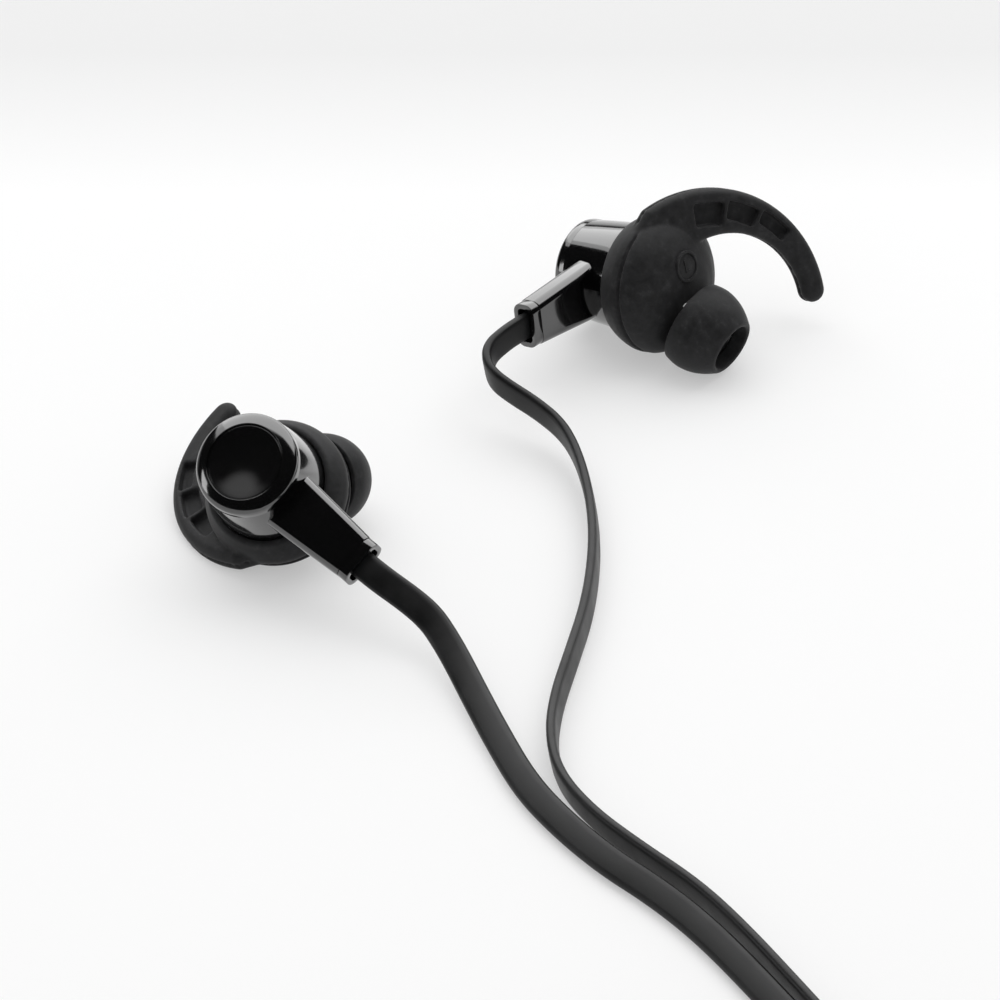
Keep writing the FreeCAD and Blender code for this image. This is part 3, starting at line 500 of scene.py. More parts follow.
def room_tone(tree):
    """What polished faces see: a pale backdrop behind, a soft glow high on the left, dark elsewhere."""
    parts = tree.nodes.new("ShaderNodeSeparateXYZ")
    direction = tree.nodes.new("ShaderNodeTexCoord").outputs["Generated"]
    tree.links.new(direction, parts.inputs[0])
    both = tree.nodes.new("ShaderNodeMath")
    both.operation = "MULTIPLY"
    for number, (axis, low, high) in enumerate(BACKDROP_BANDS):
        reach = tree.nodes.new("ShaderNodeMapRange")
        reach.interpolation_type = "SMOOTHSTEP"
        reach.inputs["From Min"].default_value = low
        reach.inputs["From Max"].default_value = high
        tree.links.new(parts.outputs[axis], reach.inputs["Value"])
        tree.links.new(reach.outputs["Result"], both.inputs[number])
    aim = tree.nodes.new("ShaderNodeVectorMath")
    aim.operation = "DOT_PRODUCT"
    tree.links.new(direction, aim.inputs[0])
    rise, bearing = math.radians(GLOW_RISE), math.radians(GLOW_BEARING)
    level = math.cos(rise)
    aim.inputs[1].default_value = (math.sin(bearing) * level, math.cos(bearing) * level, math.sin(rise))
    glow = tree.nodes.new("ShaderNodeMapRange")
    glow.interpolation_type = "SMOOTHSTEP"
    glow.inputs["From Min"].default_value = math.cos(math.radians(GLOW_EDGE))
    glow.inputs["From Max"].default_value = math.cos(math.radians(GLOW_CORE))
    glow.inputs["To Max"].default_value = GLOW_TONE
    tree.links.new(aim.outputs["Value"], glow.inputs["Value"])
    total = tree.nodes.new("ShaderNodeMath")
    tree.links.new(both.outputs[0], total.inputs[0])
    tree.links.new(glow.outputs["Result"], total.inputs[1])
    return ramp(tree, total.outputs[0], [(0.0, ROOM_DARK), (1.0, BACKDROP_TONE)])


def make_light():
    world = bpy.data.worlds.new("studio")
    bpy.context.scene.world = world
    world.use_nodes = True
    tree = world.node_tree
    tone = tree.nodes.new("ShaderNodeMix")
    tone.data_type = "RGBA"
    tree.links.new(tree.nodes.new("ShaderNodeLightPath").outputs["Is Glossy Ray"], tone.inputs["Factor"])
    tone.inputs["A"].default_value = (ROOM_FILL, ROOM_FILL, ROOM_FILL, 1)
    tree.links.new(room_tone(tree), tone.inputs["B"])
    tree.links.new(tone.outputs["Result"], tree.nodes["Background"].inputs["Color"])
    softbox("back_softbox", bearing=6, rise=56, distance=0.9, width=1.7, height=1.3, watts=8.2)
    softbox("back_card", bearing=8, rise=54, distance=0.92, width=2.2, height=1.36, watts=16.5,
            roll=-8, card=True)
    softbox("left_card", bearing=-96, rise=12, distance=0.36, width=0.075, height=0.15, watts=0.13,
            card=True)


make_camera()
make_floor()
make_light()
bpy.context.scene.view_settings.view_transform = "Standard"


# ---------------------------------------------------------------- cords

BRANCH_WIDTH = 3.2
BRANCH_THICKNESS = 1.1
TRUNK_WIDTH = 4.0
TRUNK_THICKNESS = 1.2
CORD_EDGE = 0.42
TRUNK_LEAN = 90
SPLITTER_MIDDLE = (-13.13, -130.06)
SPLITTER_TURN = 80.0
SPLITTER_LENGTH = 16.0
PORT_SPACING = 3.5

# Points of each branch cord after its exit, in millimetres, each with the cord's lean from flat in degrees.
RIGHT_ROUTE = [
    (-10.6, -36.56, 5.6, 39), (-8.4, -38.46, 4.6, 39), (-6.9, -40.86, 3.6, 39), (-5.5, -43.86, 2.75, 36),
    (-3.8, -48.46, 1.95, 34), (-1.4, -55.56, 1.5, 32), (1.6, -64.26, 1.45, 32), (5.2, -70.76, 1.45, 32),
    (9.8, -77.26, 1.45, 32), (14.8, -82.56, 1.45, 32), (19.7, -89.06, 1.45, 32), (25.2, -98.66, 1.45, 32),
    (33.5, -114.06, 1.45, 34), (47.8, -142.16, 1.45, 36), (40.4, -165.46, 1.45, 39),
    (18.7, -176.66, 1.45, 39), (-1.0, -170.36, 1.45, 39), (-11.3, -158.36, 1.45, 39),
]
LEFT_ROUTE = [
    (-0.7, 11.79, 7.9, 100), (-2.05, 10.09, 7.55, 100), (-2.45, 8.14, 7.0, 100), (-1.75, 6.24, 6.35, 100),
    (0.1, 4.74, 5.6, 100), (3.1, 2.84, 4.6, 100), (5.9, 0.24, 3.55, 100), (7.5, -3.36, 2.75, 100),
    (8.6, -8.56, 2.1, 100), (9.3, -15.36, 1.75, 100), (9.3, -23.36, 1.7, 100), (8.4, -32.86, 1.7, 100),
    (6.5, -42.26, 1.7, 100), (4.9, -50.06, 1.7, 100), (4.3, -57.06, 1.7, 100), (5.3, -64.06, 1.75, 100),
    (8.6, -70.56, 1.85, 100), (13.2, -76.46, 1.95, 100), (18.9, -82.96, 2.0, 100), (23.2, -89.66, 2.0, 100),
    (28.4, -99.26, 2.0, 100), (36.8, -115.16, 1.9, 100), (50.6, -142.36, 1.75, 100),
    (43.2, -167.96, 1.7, 100), (19.0, -180.46, 1.7, 100), (-3.0, -173.56, 1.7, 100),
    (-14.4, -159.86, 1.7, 100),
]
PORT_HEIGHT = {"right": 1.45, "left": 1.7}

# The trunk stands on edge: its points from the splitter to the coil, the coil, and its points to the plug.
LEAD_IN_ROUTE = [(-3.9, -111.76), (7.0, -111.46), (17.9, -114.76), (27.9, -120.06)]
LEAD_IN_HEIGHT = 2.6
COIL_MIDDLE = (16.0, -144.86)
COIL_RADIUS = 24.5
COIL_PITCH = 2.2
COIL_START = 20.0
COIL_LOW = 3.1
COIL_HIGH = 7.7
COIL_POINTS = 16
COIL_TURNS_IN = 2
COIL_TURNS_OUT = 2.7917
TAIL_ROUTE = [
    (1.0, -172.9, 7.3), (-9.0, -173.6, 6.85), (-17.5, -173.2, 6.1), (-25.0, -170.9, 5.1),
    (-30.0, -166.0, 4.2), (-31.6, -160.0, 3.7), (-32.0, -155.5, 3.7),
]


def heading(angle):
    """A level direction, in degrees from x."""
    return Vector((math.cos(math.radians(angle)), math.sin(math.radians(angle)), 0))


def arm_point(side, reach):
    """A point this far beyond the end of the arm, in millimetres on the table."""
    return bud_place(side) @ Vector((ARM_END + reach, 0, -ARM_DEPTH)) / MM


def branch_points(side, route):
    """The whole route of a branch cord as pairs of point and lean."""
    first = route[0][3]
    points = [(arm_point(side, reach), first) for reach in (-0.5, 2.0)]
    points += [(Vector(p[:3]), p[3]) for p in route]
    along = heading(SPLITTER_TURN)
    across = heading(SPLITTER_TURN + 90) * (-EARPHONES[side][2] * PORT_SPACING / 2)
    port = Vector((*SPLITTER_MIDDLE, PORT_HEIGHT[side])) - along * (SPLITTER_LENGTH / 2) + across
    return points + [(port - along * 7, route[-1][3]), (port, route[-1][3])]


def coil_points():
    """Two turns inwards on the low layer, a climb of half a turn, then out on the high layer."""
    # a spline of this order runs inside its control points by this share of the radius
    fit = 1 / (0.75 + 0.25 * math.cos(2 * math.pi / COIL_POINTS))
    turns = COIL_TURNS_IN + 0.5 + COIL_TURNS_OUT
    count = round(turns * COIL_POINTS)
    points = []
    for number in range(count + 1):
        turn = turns * number / count
        climb = min(max((turn - COIL_TURNS_IN) / 0.5, 0), 1)
        radius = COIL_RADIUS - COIL_PITCH * min(turn, COIL_TURNS_IN)
        radius += COIL_PITCH * max(turn - COIL_TURNS_IN - 0.5, 0) - 0.5 * math.sin(math.pi * climb)
        height = COIL_LOW + (COIL_HIGH - COIL_LOW) * climb * climb * (3 - 2 * climb)
        spoke = heading(COIL_START - 360 * turn) * radius * fit
        points.append(Vector((*COIL_MIDDLE, height)) + spoke)
    return points


def trunk_points():
    """The trunk's whole route, from the splitter round the coil to the plug."""
    along = heading(SPLITTER_TURN)
    start = Vector((*SPLITTER_MIDDLE, LEAD_IN_HEIGHT)) + along * (SPLITTER_LENGTH / 2)
    points = [start - along * 0.5, start + along * 5.5]
    for number, (x, y) in enumerate(LEAD_IN_ROUTE, start=1):
        points.append(Vector((x, y, LEAD_IN_HEIGHT + (COIL_LOW - LEAD_IN_HEIGHT) * number / 5)))
    first = Vector((*COIL_MIDDLE, COIL_LOW)) + heading(COIL_START) * COIL_RADIUS
    points.append(first - heading(COIL_START - 90) * 9.5)
    turns = coil_points()
    points += turns[1:-1]
    end = COIL_START - 360 * (COIL_TURNS_IN + 0.5 + COIL_TURNS_OUT)
    reach = COIL_RADIUS + COIL_PITCH * (COIL_TURNS_OUT - COIL_TURNS_IN)
    last = Vector((*COIL_MIDDLE, COIL_HIGH)) + heading(end) * reach
    points.append(last + heading(end - 90) * 8)
    return points + [Vector(p) for p in TAIL_ROUTE]


def spline_object(name, points):
    """A smooth open spline through the air near its points, with each point's lean."""
    data = bpy.data.curves.new(name, "CURVE")
    data.dimensions = "3D"
    data.twist_mode = "Z_UP"
    spline = data.splines.new("NURBS")
    spline.points.add(len(points) - 1)
    for held, (place, lean) in zip(spline.points, points):
        held.co = (*(place * MM), 1)
        held.tilt = math.radians(lean)
    spline.order_u = 3
    spline.use_endpoint_u = True
    spline.resolution_u = 10
    return linked(name, data)


def flat_outline(width, thickness):
    """The rounded outline of a flat cord, as a curve to sweep."""
    data = bpy.data.curves.new("outline", "CURVE")
    spline = data.splines.new("NURBS")
    w, t = width / 2 * MM, thickness / 2 * MM
    r = CORD_EDGE * MM
    n = 0.35 * r
    corners = [(w, -t + r), (w, t - r), (w - n, t - n), (w - r, t), (-w + r, t), (-w + n, t - n),
               (-w, t - r), (-w, -t + r), (-w + n, -t + n), (-w + r, -t), (w - r, -t), (w - n, -t + n)]
    spline.points.add(len(corners) - 1)
    for held, (x, y) in zip(spline.points, corners):
        held.co = (x, y, 0, 1)
    spline.use_cyclic_u = True
    spline.order_u = 3
    spline.resolution_u = 2
    return linked("outline", data)


def flat_cord(name, points, width, thickness, nodes):
    """A flat cord along its route. Returns the piece and the line that it follows."""
    route = spline_object(name + "_route", points)
    bare = evaluated(route)
    line = [v.co.copy() for v in bare.verts]
    bare.free()
    outline = flat_outline(width, thickness)
    route.data.bevel_mode = "OBJECT"
    route.data.bevel_object = outline
    route.data.use_fill_caps = True
    bm = finished(route)
    drop(outline)
    bmesh.ops.remove_doubles(bm, verts=bm.verts[:], dist=1e-6)
    bmesh.ops.recalc_face_normals(bm, faces=bm.faces[:])
    made = piece(name, bm, Matrix.Identity(4), RUBBER, nodes, sharp=40)
    return made, line


def length_of(line):
    return sum((b - a).length for a, b in zip(line, line[1:]))


branches = {}
for side, route in (("right", RIGHT_ROUTE), ("left", LEFT_ROUTE)):
    branches[side] = flat_cord(side + "_cord", branch_points(side, route), BRANCH_WIDTH,
                               BRANCH_THICKNESS, [side + "_branch_cord"])
trunk, trunk_line = flat_cord("trunk_cord", [(p, TRUNK_LEAN) for p in trunk_points()], TRUNK_WIDTH,
                              TRUNK_THICKNESS, ["trunk_lead_in", "trunk_coil", "trunk_tail"])
for name, line in (("right", branches["right"][1]), ("left", branches["left"][1]),
                   ("trunk", trunk_line)):
    print("cord", name, "length %.1f mm" % (length_of(line) / MM))


# ---------------------------------------------------------------- earphones

# Outlines of radius, height and rounding, turned about each earphone's axis.
CAP_PROFILE = [
    (0, -0.12), (1.0, -0.1), (2.0, -0.03), (3.0, 0.08), (4.1, 0.24, 0.04), (4.18, 0.14), (4.26, 0.14),
    (4.32, 0.42, 0.05), (5.25, 0.1, 0.35), (5.7, -0.25, 0.2), (5.77, -0.75, 0.1), (5.77, -1.39),
    (5.3, -1.39), (0, -1.39),
]
BARREL_PROFILE = [
    (5.2, -1.4), (5.76, -1.4), (6.08, -4.2, 2.0), (6.32, -7.45, 0.6), (6.32, -12.0), (5.2, -12.0),
]

# The arm runs from inside the barrel to a narrow gap before the collar.
ARM_ROOT = 3.2
ARM_FACE = 15.19
ARM_ROOT_WIDTH = 7.1
ARM_FACE_WIDTH = 5.35
ARM_HEIGHT = 3.0
ARM_CORNER = 1.0
COLLAR_FACE = 15.24
COLLAR_WIDTH = 5.3
COLLAR_HEIGHT = 2.9
COLLAR_CORNER = 1.1
COLLAR_WALL = 0.6
COLLAR_RECESS = 1.1


def shell_piece(side, name, bm, node):
    """A part of one earphone's glossy shell."""
    piece(side + name, bm, bud_place(side), GLOSS, [side + node], sharp=28)


def back_cap(side):
    """A shallow dished disc inside a bevelled edge that rolls over to the barrel."""
    shell_piece(side, "_back_cap_shell", turned(CAP_PROFILE), "_back_cap")


def rear_barrel(side):
    """The flared tube between the cap and the sleeve."""
    shell_piece(side, "_barrel", turned(BARREL_PROFILE, closed=True), "_rear_housing")


def arm_block(start, end, width, height):
    """A box along the arm's middle line."""
    return block((start, -width / 2, -ARM_DEPTH - height / 2), (end, width / 2, -ARM_DEPTH + height / 2))


def cord_arm(side):
    """A rounded bar that narrows towards the collar."""
    bm = arm_block(ARM_ROOT, ARM_FACE, ARM_ROOT_WIDTH, ARM_HEIGHT)
    far = [v for v in bm.verts if v.co.x > (ARM_ROOT + ARM_FACE) / 2]
    bmesh.ops.scale(bm, vec=(1, ARM_FACE_WIDTH / ARM_ROOT_WIDTH, 1), verts=far)
    soften(bm, edges_along(bm, 0), ARM_CORNER, 12)
    ends = [e for e in bm.edges if all(v.co.x > ARM_FACE - 0.09 for v in e.verts)]
    soften(bm, ends, 0.12, 2)
    shell_piece(side, "_cord_arm", bm, "_rear_housing")


def cord_collar(side):
    """The frame at the arm's end, open where the flat cord comes out."""
    bm = arm_block(COLLAR_FACE, ARM_END, COLLAR_WIDTH, COLLAR_HEIGHT)
    soften(bm, edges_along(bm, 0), COLLAR_CORNER, 8)
    face = max(bm.faces, key=lambda f: f.calc_center_median().x)
    bmesh.ops.inset_region(bm, faces=[face], thickness=COLLAR_WALL, use_even_offset=True)
    face = max(bm.faces, key=lambda f: (f.calc_center_median().x, -abs(f.calc_center_median().y)))
    rims = [e for e in bm.edges if all(abs(v.co.x - ARM_END) < 1e-4 for v in e.verts)]
    inner = bmesh.ops.extrude_face_region(bm, geom=[face])
    bmesh.ops.translate(bm, vec=(-COLLAR_RECESS, 0, 0), verts=verts_in(inner["geom"]))
    bmesh.ops.delete(bm, geom=[face], context="FACES_ONLY")
    soften(bm, [e for e in rims if e.is_valid], 0.1, 2)
    shell_piece(side, "_collar_frame", bm, "_cord_collar")


# The fin in its own plane: middle and radius of both arcs, and the angles where they leave the sleeve.
FIN_OUTER = ((-3.9, 5.47), 15.19)
FIN_INNER = ((-6.57, 5.89), 9.59)
FIN_OUTER_START = -72.0
FIN_INNER_START = -60.0
FIN_THICKNESS = 2.6
FIN_TIP_ROUND = 1.46
FIN_RIM_ROUND = 0.95

# Two corners inside the sleeve close the fin's outline. Beyond this x its edges are hidden there.
FIN_HEART = (3.0, -3.0, 0)
FIN_HEEL = (4.9, -5.2, 0)
FIN_HIDDEN_FROM = 2.9

# The moulding line round the fin's rim.
LINE_HALF_WIDTH = 0.17
LINE_DEPTH = 0.34

# Three pockets on each face, about the outer arc's middle. Each radius comes with its growth from one
# pocket to the next.
POCKET_COUNT = 3
POCKET_START = 266.0
POCKET_STEP = 19.4
POCKET_SWEEP = 17.2
POCKET_INNER = (10.9, 0.8)
POCKET_OUTER = (13.6, 0.3)
POCKET_DEPTH = 0.95
POCKET_CORNER = 1.05
CUTTER_HEIGHT = 2


def fin_solid():
    """The crescent: outer arc, rounded tip, inner arc and a heel inside the sleeve."""
    (ox, oy), outer = FIN_OUTER
    (ix, iy), inner = FIN_INNER
    apart = math.hypot(ix - ox, iy - oy)
    lean = math.degrees(math.atan2(iy - oy, ix - ox))
    # the tip's rounding touches both arcs, so its middle lies at these distances from theirs
    short, long = outer - FIN_TIP_ROUND, inner + FIN_TIP_ROUND
    at_outer = math.acos((short ** 2 + apart ** 2 - long ** 2) / (2 * short * apart))
    at_inner = math.acos((long ** 2 + apart ** 2 - short ** 2) / (2 * long * apart))
    outer_end = lean + math.degrees(at_outer)
    inner_end = lean + 180 - math.degrees(at_inner)
    bm = bmesh.new()
    start = math.radians(FIN_OUTER_START)
    first = bm.verts.new((ox + outer * math.cos(start), oy + outer * math.sin(start), 0))
    tip = Vector((ox, oy, 0)) + heading(outer_end) * short
    swing = (outer_end - FIN_OUTER_START) % 360 - 360
    last = arc_from(bm, first, (ox, oy), swing, 64)
    to_inner = math.degrees(math.atan2(iy - tip.y, ix - tip.x))
    round_by = -((outer_end - to_inner) % 360)
    last = arc_from(bm, last, (tip.x, tip.y), round_by, 14)
    back = (FIN_INNER_START - inner_end) % 360
    last = arc_from(bm, last, (ix, iy), back, 48)
    heart = bm.verts.new(FIN_HEART)
    heel = bm.verts.new(FIN_HEEL)
    for a, b in ((last, heart), (heart, heel), (heel, first)):
        bm.edges.new((a, b))
    bmesh.ops.remove_doubles(bm, verts=bm.verts[:], dist=1e-4)
    bmesh.ops.contextual_create(bm, geom=bm.edges[:])
    thicken(bm, FIN_THICKNESS)
    bmesh.ops.translate(bm, vec=(0, 0, -FIN_THICKNESS / 2), verts=bm.verts[:])
    rim = [e for e in bm.edges if abs(e.verts[0].co.z - e.verts[1].co.z) < 1e-6
           and min(v.co.x for v in e.verts) < FIN_HIDDEN_FROM]
    soften(bm, rim, FIN_RIM_ROUND, 5)
    for height in (-LINE_HALF_WIDTH, LINE_HALF_WIDTH):
        bmesh.ops.bisect_plane(bm, geom=bm.verts[:] + bm.edges[:] + bm.faces[:], dist=1e-5,
                               plane_co=(0, 0, height), plane_no=(0, 0, 1))
    line = [f for f in bm.faces if abs(f.calc_center_median().z) < 0.1 and abs(f.normal.z) < 0.3
            and f.calc_center_median().x < FIN_HIDDEN_FROM]
    bmesh.ops.inset_region(bm, faces=line, thickness=0.01, depth=-LINE_DEPTH, use_boundary=True)
    return bm


def pocket_cutter(number, face):
    """One blind pocket: a piece of a ring with rounded corners, cut from the fin's face 1 or -1."""
    middle = Vector((*FIN_OUTER[0], 0))
    near = heading(POCKET_START - number * POCKET_STEP)
    bm = bmesh.new()
    a, b = (bm.verts.new(middle + near * (radius + growth * number))
            for radius, growth in (POCKET_INNER, POCKET_OUTER))
    edge = bm.edges.new((a, b))
    bmesh.ops.spin(bm, geom=[a, b, edge], cent=middle, axis=(0, 0, 1),
                   angle=-math.radians(POCKET_SWEEP), steps=12)
    thicken(bm, CUTTER_HEIGHT)
    corners = [e for e in edges_along(bm, 2) if e.calc_face_angle(0) > math.radians(60)]
    soften(bm, corners, POCKET_CORNER, 5)
    bmesh.ops.translate(bm, vec=(0, 0, FIN_THICKNESS / 2 - POCKET_DEPTH), verts=bm.verts[:])
    if face < 0:
        bmesh.ops.scale(bm, vec=(1, 1, -1), verts=bm.verts[:])
        bmesh.ops.recalc_face_normals(bm, faces=bm.faces[:])
    bm.transform(fin_place())
    return bm


SLEEVE_OUTSIDE = [
    (0, -7.9), (7.0, -7.9, 0.25), (7.7, -9.1, 0.5), (8.16, -10.4, 0.3), (8.16, -11.2), (7.74, -11.2),
    (7.74, -11.62), (8.16, -11.62), (7.95, -12.3, 0.25), (7.6, -13.0, 0.3), (6.5, -14.1, 0.5),
    (5.0, -15.0, 0.5), (3.0, -15.6, 0.6), (0, -15.7),
]
SLEEVE_INSIDE = [
    (0, -7.0), (6.37, -7.0), (6.37, -12.9), (5.15, -13.65), (2.6, -14.65), (0, -14.65),
]
NOZZLE_HOLE_RADIUS = 2.6
NOZZLE_HOLE_LENGTH = 8

# Half profile of the ear tip: up the inner tube, over the mouth, down the skirt and back under it.
TIP_PROFILE = [
    (2.85, 2.9, 0.05), (2.85, 8.7, 0.08), (3.1, 8.86, 0.08), (3.42, 8.72, 0.12), (4.1, 7.8, 0.5),
    (4.72, 6.7, 0.6), (5.12, 5.4, 0.6), (5.22, 4.2, 0.5), (4.97, 2.9, 0.12), (4.5, 2.9, 0.12),
    (4.72, 4.2, 0.5), (4.1, 6.8, 0.4), (3.4, 8.0, 0.15), (3.4, 2.9, 0.05),
]

# The sound mesh lies a little inside the nozzle's mouth.
NOZZLE_LENGTH = 7.3
MESH_INSET = 0.35
MESH_RADIUS = 1.93
MESH_THICKNESS = 0.25

# A raised ring on the sleeve's front, leaning with the dome.
MARK_MIDDLE = (0.14, -2.85, -15.56)
MARK_LEAN = -7
MARK_RING = [(1.52, -0.3), (1.52, 0.1, 0.06), (1.84, 0.1, 0.06), (1.84, -0.3)]
LETTER_SIZE = 2.1
LETTER_DEPTH = 0.4
LETTER_SINK = 0.12


def sleeve_shape(side):
    """The silicone sleeve with its crescent fin, three pockets on each face and the nozzle's hole."""
    fin = fin_solid()
    fin.transform(fin_place())
    fin = combined(fin, [("DIFFERENCE", pocket_cutter(number, face))
                         for number in range(POCKET_COUNT) for face in (1, -1)])
    fin.transform(Matrix.Rotation(math.radians(SLEEVE_TURN[side]), 4, "Z"))
    body = turned(SLEEVE_OUTSIDE, steps=72)
    hollow = turned(SLEEVE_INSIDE, steps=72)
    hole = bmesh.new()
    bmesh.ops.create_cone(hole, cap_ends=True, segments=48, radius1=NOZZLE_HOLE_RADIUS,
                          radius2=NOZZLE_HOLE_RADIUS, depth=NOZZLE_HOLE_LENGTH)
    bmesh.ops.translate(hole, vec=(0, 0, NOZZLE_HOLE_LENGTH / 2), verts=hole.verts[:])
    hole.transform(bud_place("right").inverted() @ nozzle_place("right"))
    bmesh.ops.recalc_face_normals(hole, faces=hole.faces[:])
    bm = combined(body, [("UNION", fin), ("DIFFERENCE", hollow), ("DIFFERENCE", hole)])
    return moulded(bm, voxel=0.16, passes=3)


def fin_sleeve(side):
    """The sleeve on its earphone, pressed flat where it lies on the table."""
    made = piece(side + "_sleeve", sleeve_shape(side), bud_place(side), SILICONE,
                 [side + "_fin_sleeve"], sharp=60)
    for vert in made.data.vertices:
        vert.co.z = max(vert.co.z, FLOOR_REST)


def letter_solid(letter):
    """A raised letter, standing upright in its plane and facing z."""
    data = bpy.data.curves.new("letter", "FONT")
    data.body = letter
    data.size = LETTER_SIZE
    data.extrude = LETTER_DEPTH / 2
    data.align_x = "CENTER"
    data.align_y = "CENTER"
    bm = finished(linked("letter", data))
    clean(bm)
    return bm


def side_mark(side):
    """A raised ring with L or R on the sleeve's front, beside the nozzle."""
    ring = turned(MARK_RING, closed=True, steps=64)
    letter = letter_solid(side[0].upper())
    bmesh.ops.translate(letter, vec=(0, 0, -LETTER_SINK), verts=letter.verts[:])
    add_to(ring, letter)
    face = Matrix.Translation(MARK_MIDDLE) @ Matrix.Rotation(math.radians(MARK_LEAN), 4, "X")
    outward = Matrix.Diagonal((EARPHONES[side][2], -1, -1, 1))
    place = bud_place(side) @ face @ outward
    piece(side + "_mark", ring, place, SILICONE, sharp=40)


def ear_tip(side):
    """A soft umbrella tip: rolled mouth, domed skirt and an inner tube on the nozzle."""
    piece(side + "_tip", turned(TIP_PROFILE, closed=True), nozzle_place(side), SILICONE,
          [side + "_ear_tip"], body=side + "_tip", sharp=50)


def sound_mesh(side):
    """The steel disc across the nozzle."""
    bm = bmesh.new()
    bmesh.ops.create_cone(bm, cap_ends=True, segments=64, radius1=MESH_RADIUS, radius2=MESH_RADIUS,
                          depth=MESH_THICKNESS)
    height = NOZZLE_LENGTH - MESH_INSET - MESH_THICKNESS / 2
    bmesh.ops.translate(bm, vec=(0, 0, height), verts=bm.verts[:])
    soften(bm, [e for e in bm.edges if e.calc_face_angle(0) > 1], 0.05, 2)
    piece(side + "_sound_mesh", bm, nozzle_place(side), STEEL, [side + "_nozzle_mesh"],
          sharp=40)


for side in EARPHONES:
    back_cap(side)
    rear_barrel(side)
    cord_arm(side)
    cord_collar(side)
    fin_sleeve(side)
    side_mark(side)
    ear_tip(side)
    sound_mesh(side)
    # these solids are shown as the CAD has them
    for node, finish in (("front_housing", GLOSS), ("driver_frame", DRIVER_STEEL),
                         ("driver_magnet", DRIVER_STEEL)):
        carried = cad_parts[side + "_" + node]
        carried.data.materials.clear()
        carried.data.materials.append(finish)


# ---------------------------------------------------------------- splitter, tie and plug

SPLITTER_WIDE = 8.4
SPLITTER_NARROW = 6.2
SPLITTER_HEIGHT = 5.2
SPLITTER_SEAM = 0.05
SPLITTER_CORNER = 1.5
SPLITTER_EDGE = 0.85
TIE_LENGTH = 6
TIE_SLACK_ACROSS = 1.6
TIE_SLACK_UP = 0.8
TIE_CORNER = 0.9
TIE_WALL = 0.7
TIE_BEARING = 110


def splitter_half(name, low, high, outside, node):
    """One half of the tapered splitter, rounded on its outside."""
    bm = block((-SPLITTER_LENGTH / 2, -SPLITTER_WIDE / 2, low),
               (SPLITTER_LENGTH / 2, SPLITTER_WIDE / 2, high))
    far = [v for v in bm.verts if v.co.x > 0]
    bmesh.ops.scale(bm, vec=(1, SPLITTER_NARROW / SPLITTER_WIDE, 1), verts=far)
    soften(bm, edges_along(bm, 2), SPLITTER_CORNER, 6)
    outer = [e for e in bm.edges if all(abs(v.co.z - outside) < 1e-4 for v in e.verts)]
    soften(bm, outer, SPLITTER_EDGE, 5)
    place = table_place((*SPLITTER_MIDDLE, 0), SPLITTER_TURN)
    return piece(name, bm, place, SATIN, [node])


below_seam = (SPLITTER_HEIGHT - SPLITTER_SEAM) / 2
above_seam = (SPLITTER_HEIGHT + SPLITTER_SEAM) / 2
splitter = [splitter_half("splitter_lower_half", 0.0, below_seam, 0.0, "splitter_bottom"),
            splitter_half("splitter_upper_half", above_seam, SPLITTER_HEIGHT, SPLITTER_HEIGHT,
                          "splitter_top")]


def tie_band():
    """A silicone band round one side of the coil."""
    wide = 2 * COIL_PITCH + TRUNK_THICKNESS + TIE_SLACK_ACROSS
    tall = COIL_HIGH - COIL_LOW + TRUNK_WIDTH + TIE_SLACK_UP
    bm = block((-TIE_LENGTH / 2, -wide / 2, -tall / 2), (TIE_LENGTH / 2, wide / 2, tall / 2))
    soften(bm, edges_along(bm, 0), TIE_CORNER, 5)
    ends = [f for f in bm.faces if abs(f.normal.x) > 0.9]
    bmesh.ops.delete(bm, geom=ends, context="FACES_ONLY")
    bmesh.ops.recalc_face_normals(bm, faces=bm.faces[:])
    bmesh.ops.solidify(bm, geom=bm.faces[:], thickness=-TIE_WALL)
    bmesh.ops.recalc_face_normals(bm, faces=bm.faces[:])
    radius = COIL_RADIUS - COIL_TURNS_IN * COIL_PITCH + 1.25 * COIL_PITCH
    middle = Vector((*COIL_MIDDLE, (COIL_LOW + COIL_HIGH) / 2)) + heading(TIE_BEARING) * radius
    place = table_place(middle, TIE_BEARING - 90)
    return piece("coil_tie", bm, place, SILICONE, ["cord_tie"])


tie = tie_band()


# Along the plug: the relief's ribs, the grip's grooves, then radii of the contacts and of what parts them.
RELIEF_RADIUS = 2.35
RELIEF_FLARE = 0.75
RELIEF_LENGTH = 11
RIB_STEP = 2.4
RIB_DEPTH = 0.35
GRIP_RADIUS = 3.7
GRIP_END = 25
GROOVE_COUNT = 7
GROOVE_START = 14.6
GROOVE_STEP = 1.1
GROOVE_RADIUS = 3.5
PIN_RADIUS = 1.75
PIN_BORE = 0.92
INSULATOR_RADIUS = 1.72
INSULATOR_CORE = 0.87


def plug_place():
    """The matrix from the plug's own millimetres, z out along its pin, to the end of the trunk."""
    before, end = trunk_points()[-2:]
    out = (end - before).normalized()
    swing = Vector((0, 0, 1)).rotation_difference(out).to_matrix().to_4x4()
    return Matrix.Translation(end * MM) @ swing @ Matrix.Scale(MM, 4)


def relief_profile():
    """A flaring sleeve with four soft grooves."""
    profile = [(0, 0), (RELIEF_RADIUS, 0, 0.2)]
    for number in range(4):
        for at, depth, soft in ((0.3, 0, 0.12), (0.36, RIB_DEPTH, 0.1), (0.64, RIB_DEPTH, 0.1),
                                (0.7, 0, 0.12)):
            height = (number + at) * RIB_STEP
            radius = RELIEF_RADIUS + RELIEF_FLARE * height / RELIEF_LENGTH - depth
            profile.append((radius, height, soft))
    return profile + [(RELIEF_RADIUS + RELIEF_FLARE, RELIEF_LENGTH), (0, RELIEF_LENGTH)]


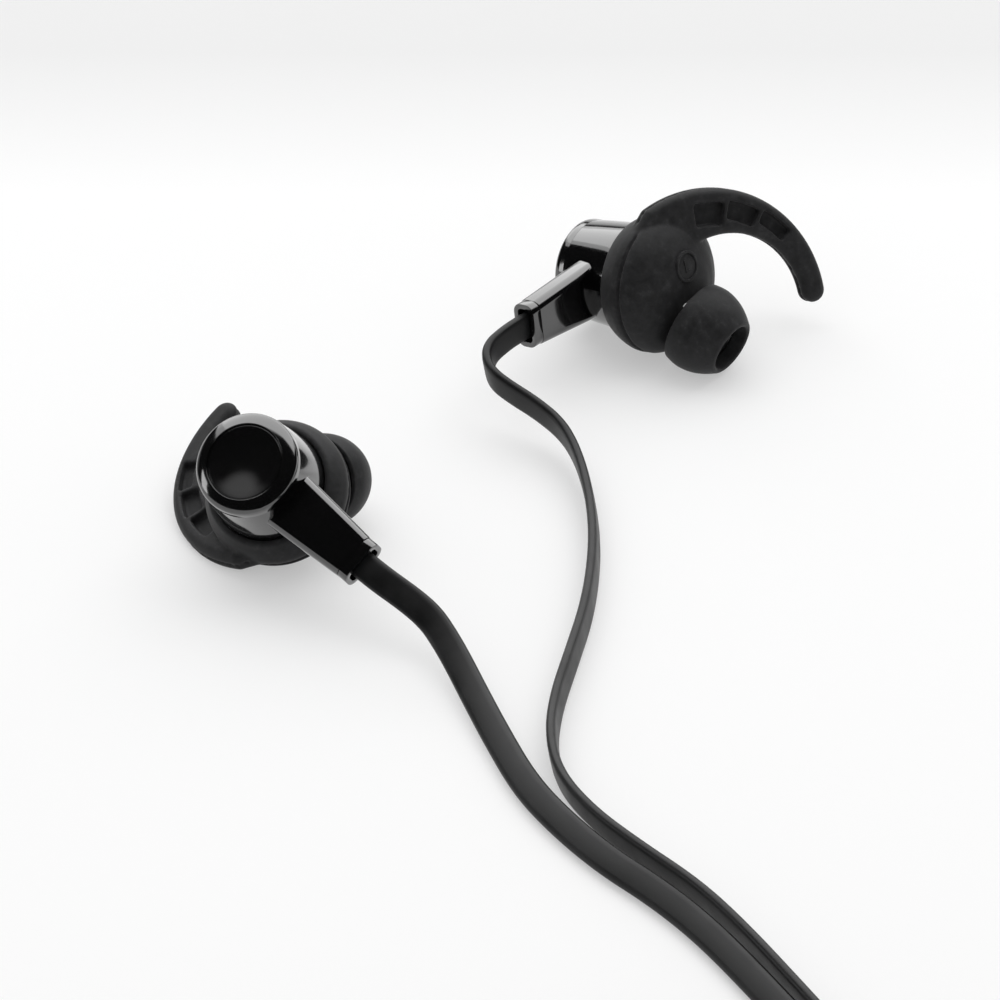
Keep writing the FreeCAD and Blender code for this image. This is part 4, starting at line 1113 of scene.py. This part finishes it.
def grip_profile():
    """The handle from the relief to the pin, with narrow grooves round it."""
    profile = [(0, RELIEF_LENGTH), (RELIEF_RADIUS + RELIEF_FLARE, RELIEF_LENGTH, 0.1),
               (GRIP_RADIUS, 12.5, 0.6)]
    for number in range(GROOVE_COUNT):
        start = GROOVE_START + number * GROOVE_STEP
        profile += [(GRIP_RADIUS, start, 0.08), (GROOVE_RADIUS, start + 0.2, 0.08),
                    (GROOVE_RADIUS, start + 0.4, 0.08), (GRIP_RADIUS, start + 0.6, 0.08)]
    return profile + [(GRIP_RADIUS, 23.5, 0.5), (2.8, GRIP_END, 0.3), (0, GRIP_END)]


def make_plug_pieces():
    """Relief, grip and the three contacts of the pin with their insulators."""
    sleeve = [(PIN_BORE, GRIP_END), (PIN_RADIUS, GRIP_END), (PIN_RADIUS, 33.15, 0.05), (PIN_BORE, 33.2)]
    ring = [(PIN_BORE, 33.8), (PIN_RADIUS, 33.8, 0.05), (PIN_RADIUS, 35.7, 0.05), (PIN_BORE, 35.7)]
    insulators = [
        (0, GRIP_END), (INSULATOR_CORE, GRIP_END), (INSULATOR_CORE, 33.2), (INSULATOR_RADIUS, 33.2),
        (INSULATOR_RADIUS, 33.8), (INSULATOR_CORE, 33.8), (INSULATOR_CORE, 35.7),
        (INSULATOR_RADIUS, 35.7), (INSULATOR_RADIUS, 36.3), (0, 36.3),
    ]
    tip = [
        (0, 36.3), (PIN_RADIUS, 36.3, 0.05), (PIN_RADIUS, 36.6, 0.1), (1.15, 37.3, 0.3),
        (1.65, 37.8, 0.3), (0.6, 39.0, 0.4), (0, 39.0),
    ]
    rows = [
        ("plug_relief", relief_profile(), False, RUBBER, "cord_rubber", "plug_strain_relief"),
        ("plug_body", grip_profile(), False, SATIN, "furniture_plastic", "plug_grip"),
        ("plug_sleeve", sleeve, True, GOLD, "plated_brass", "plug_sleeve_contact"),
        ("plug_ring", ring, True, GOLD, "plated_brass", "plug_ring_contact"),
        ("plug_insulator", insulators, False, RING_PLASTIC, "furniture_plastic", "plug_insulators"),
        ("plug_tip", tip, False, GOLD, "plated_brass", "plug_tip_contact"),
    ]
    return [piece(name, turned(profile, closed, 64), plug_place(), finish, [node])
            for name, profile, closed, finish, slot, node in rows]


plug_pieces = make_plug_pieces()
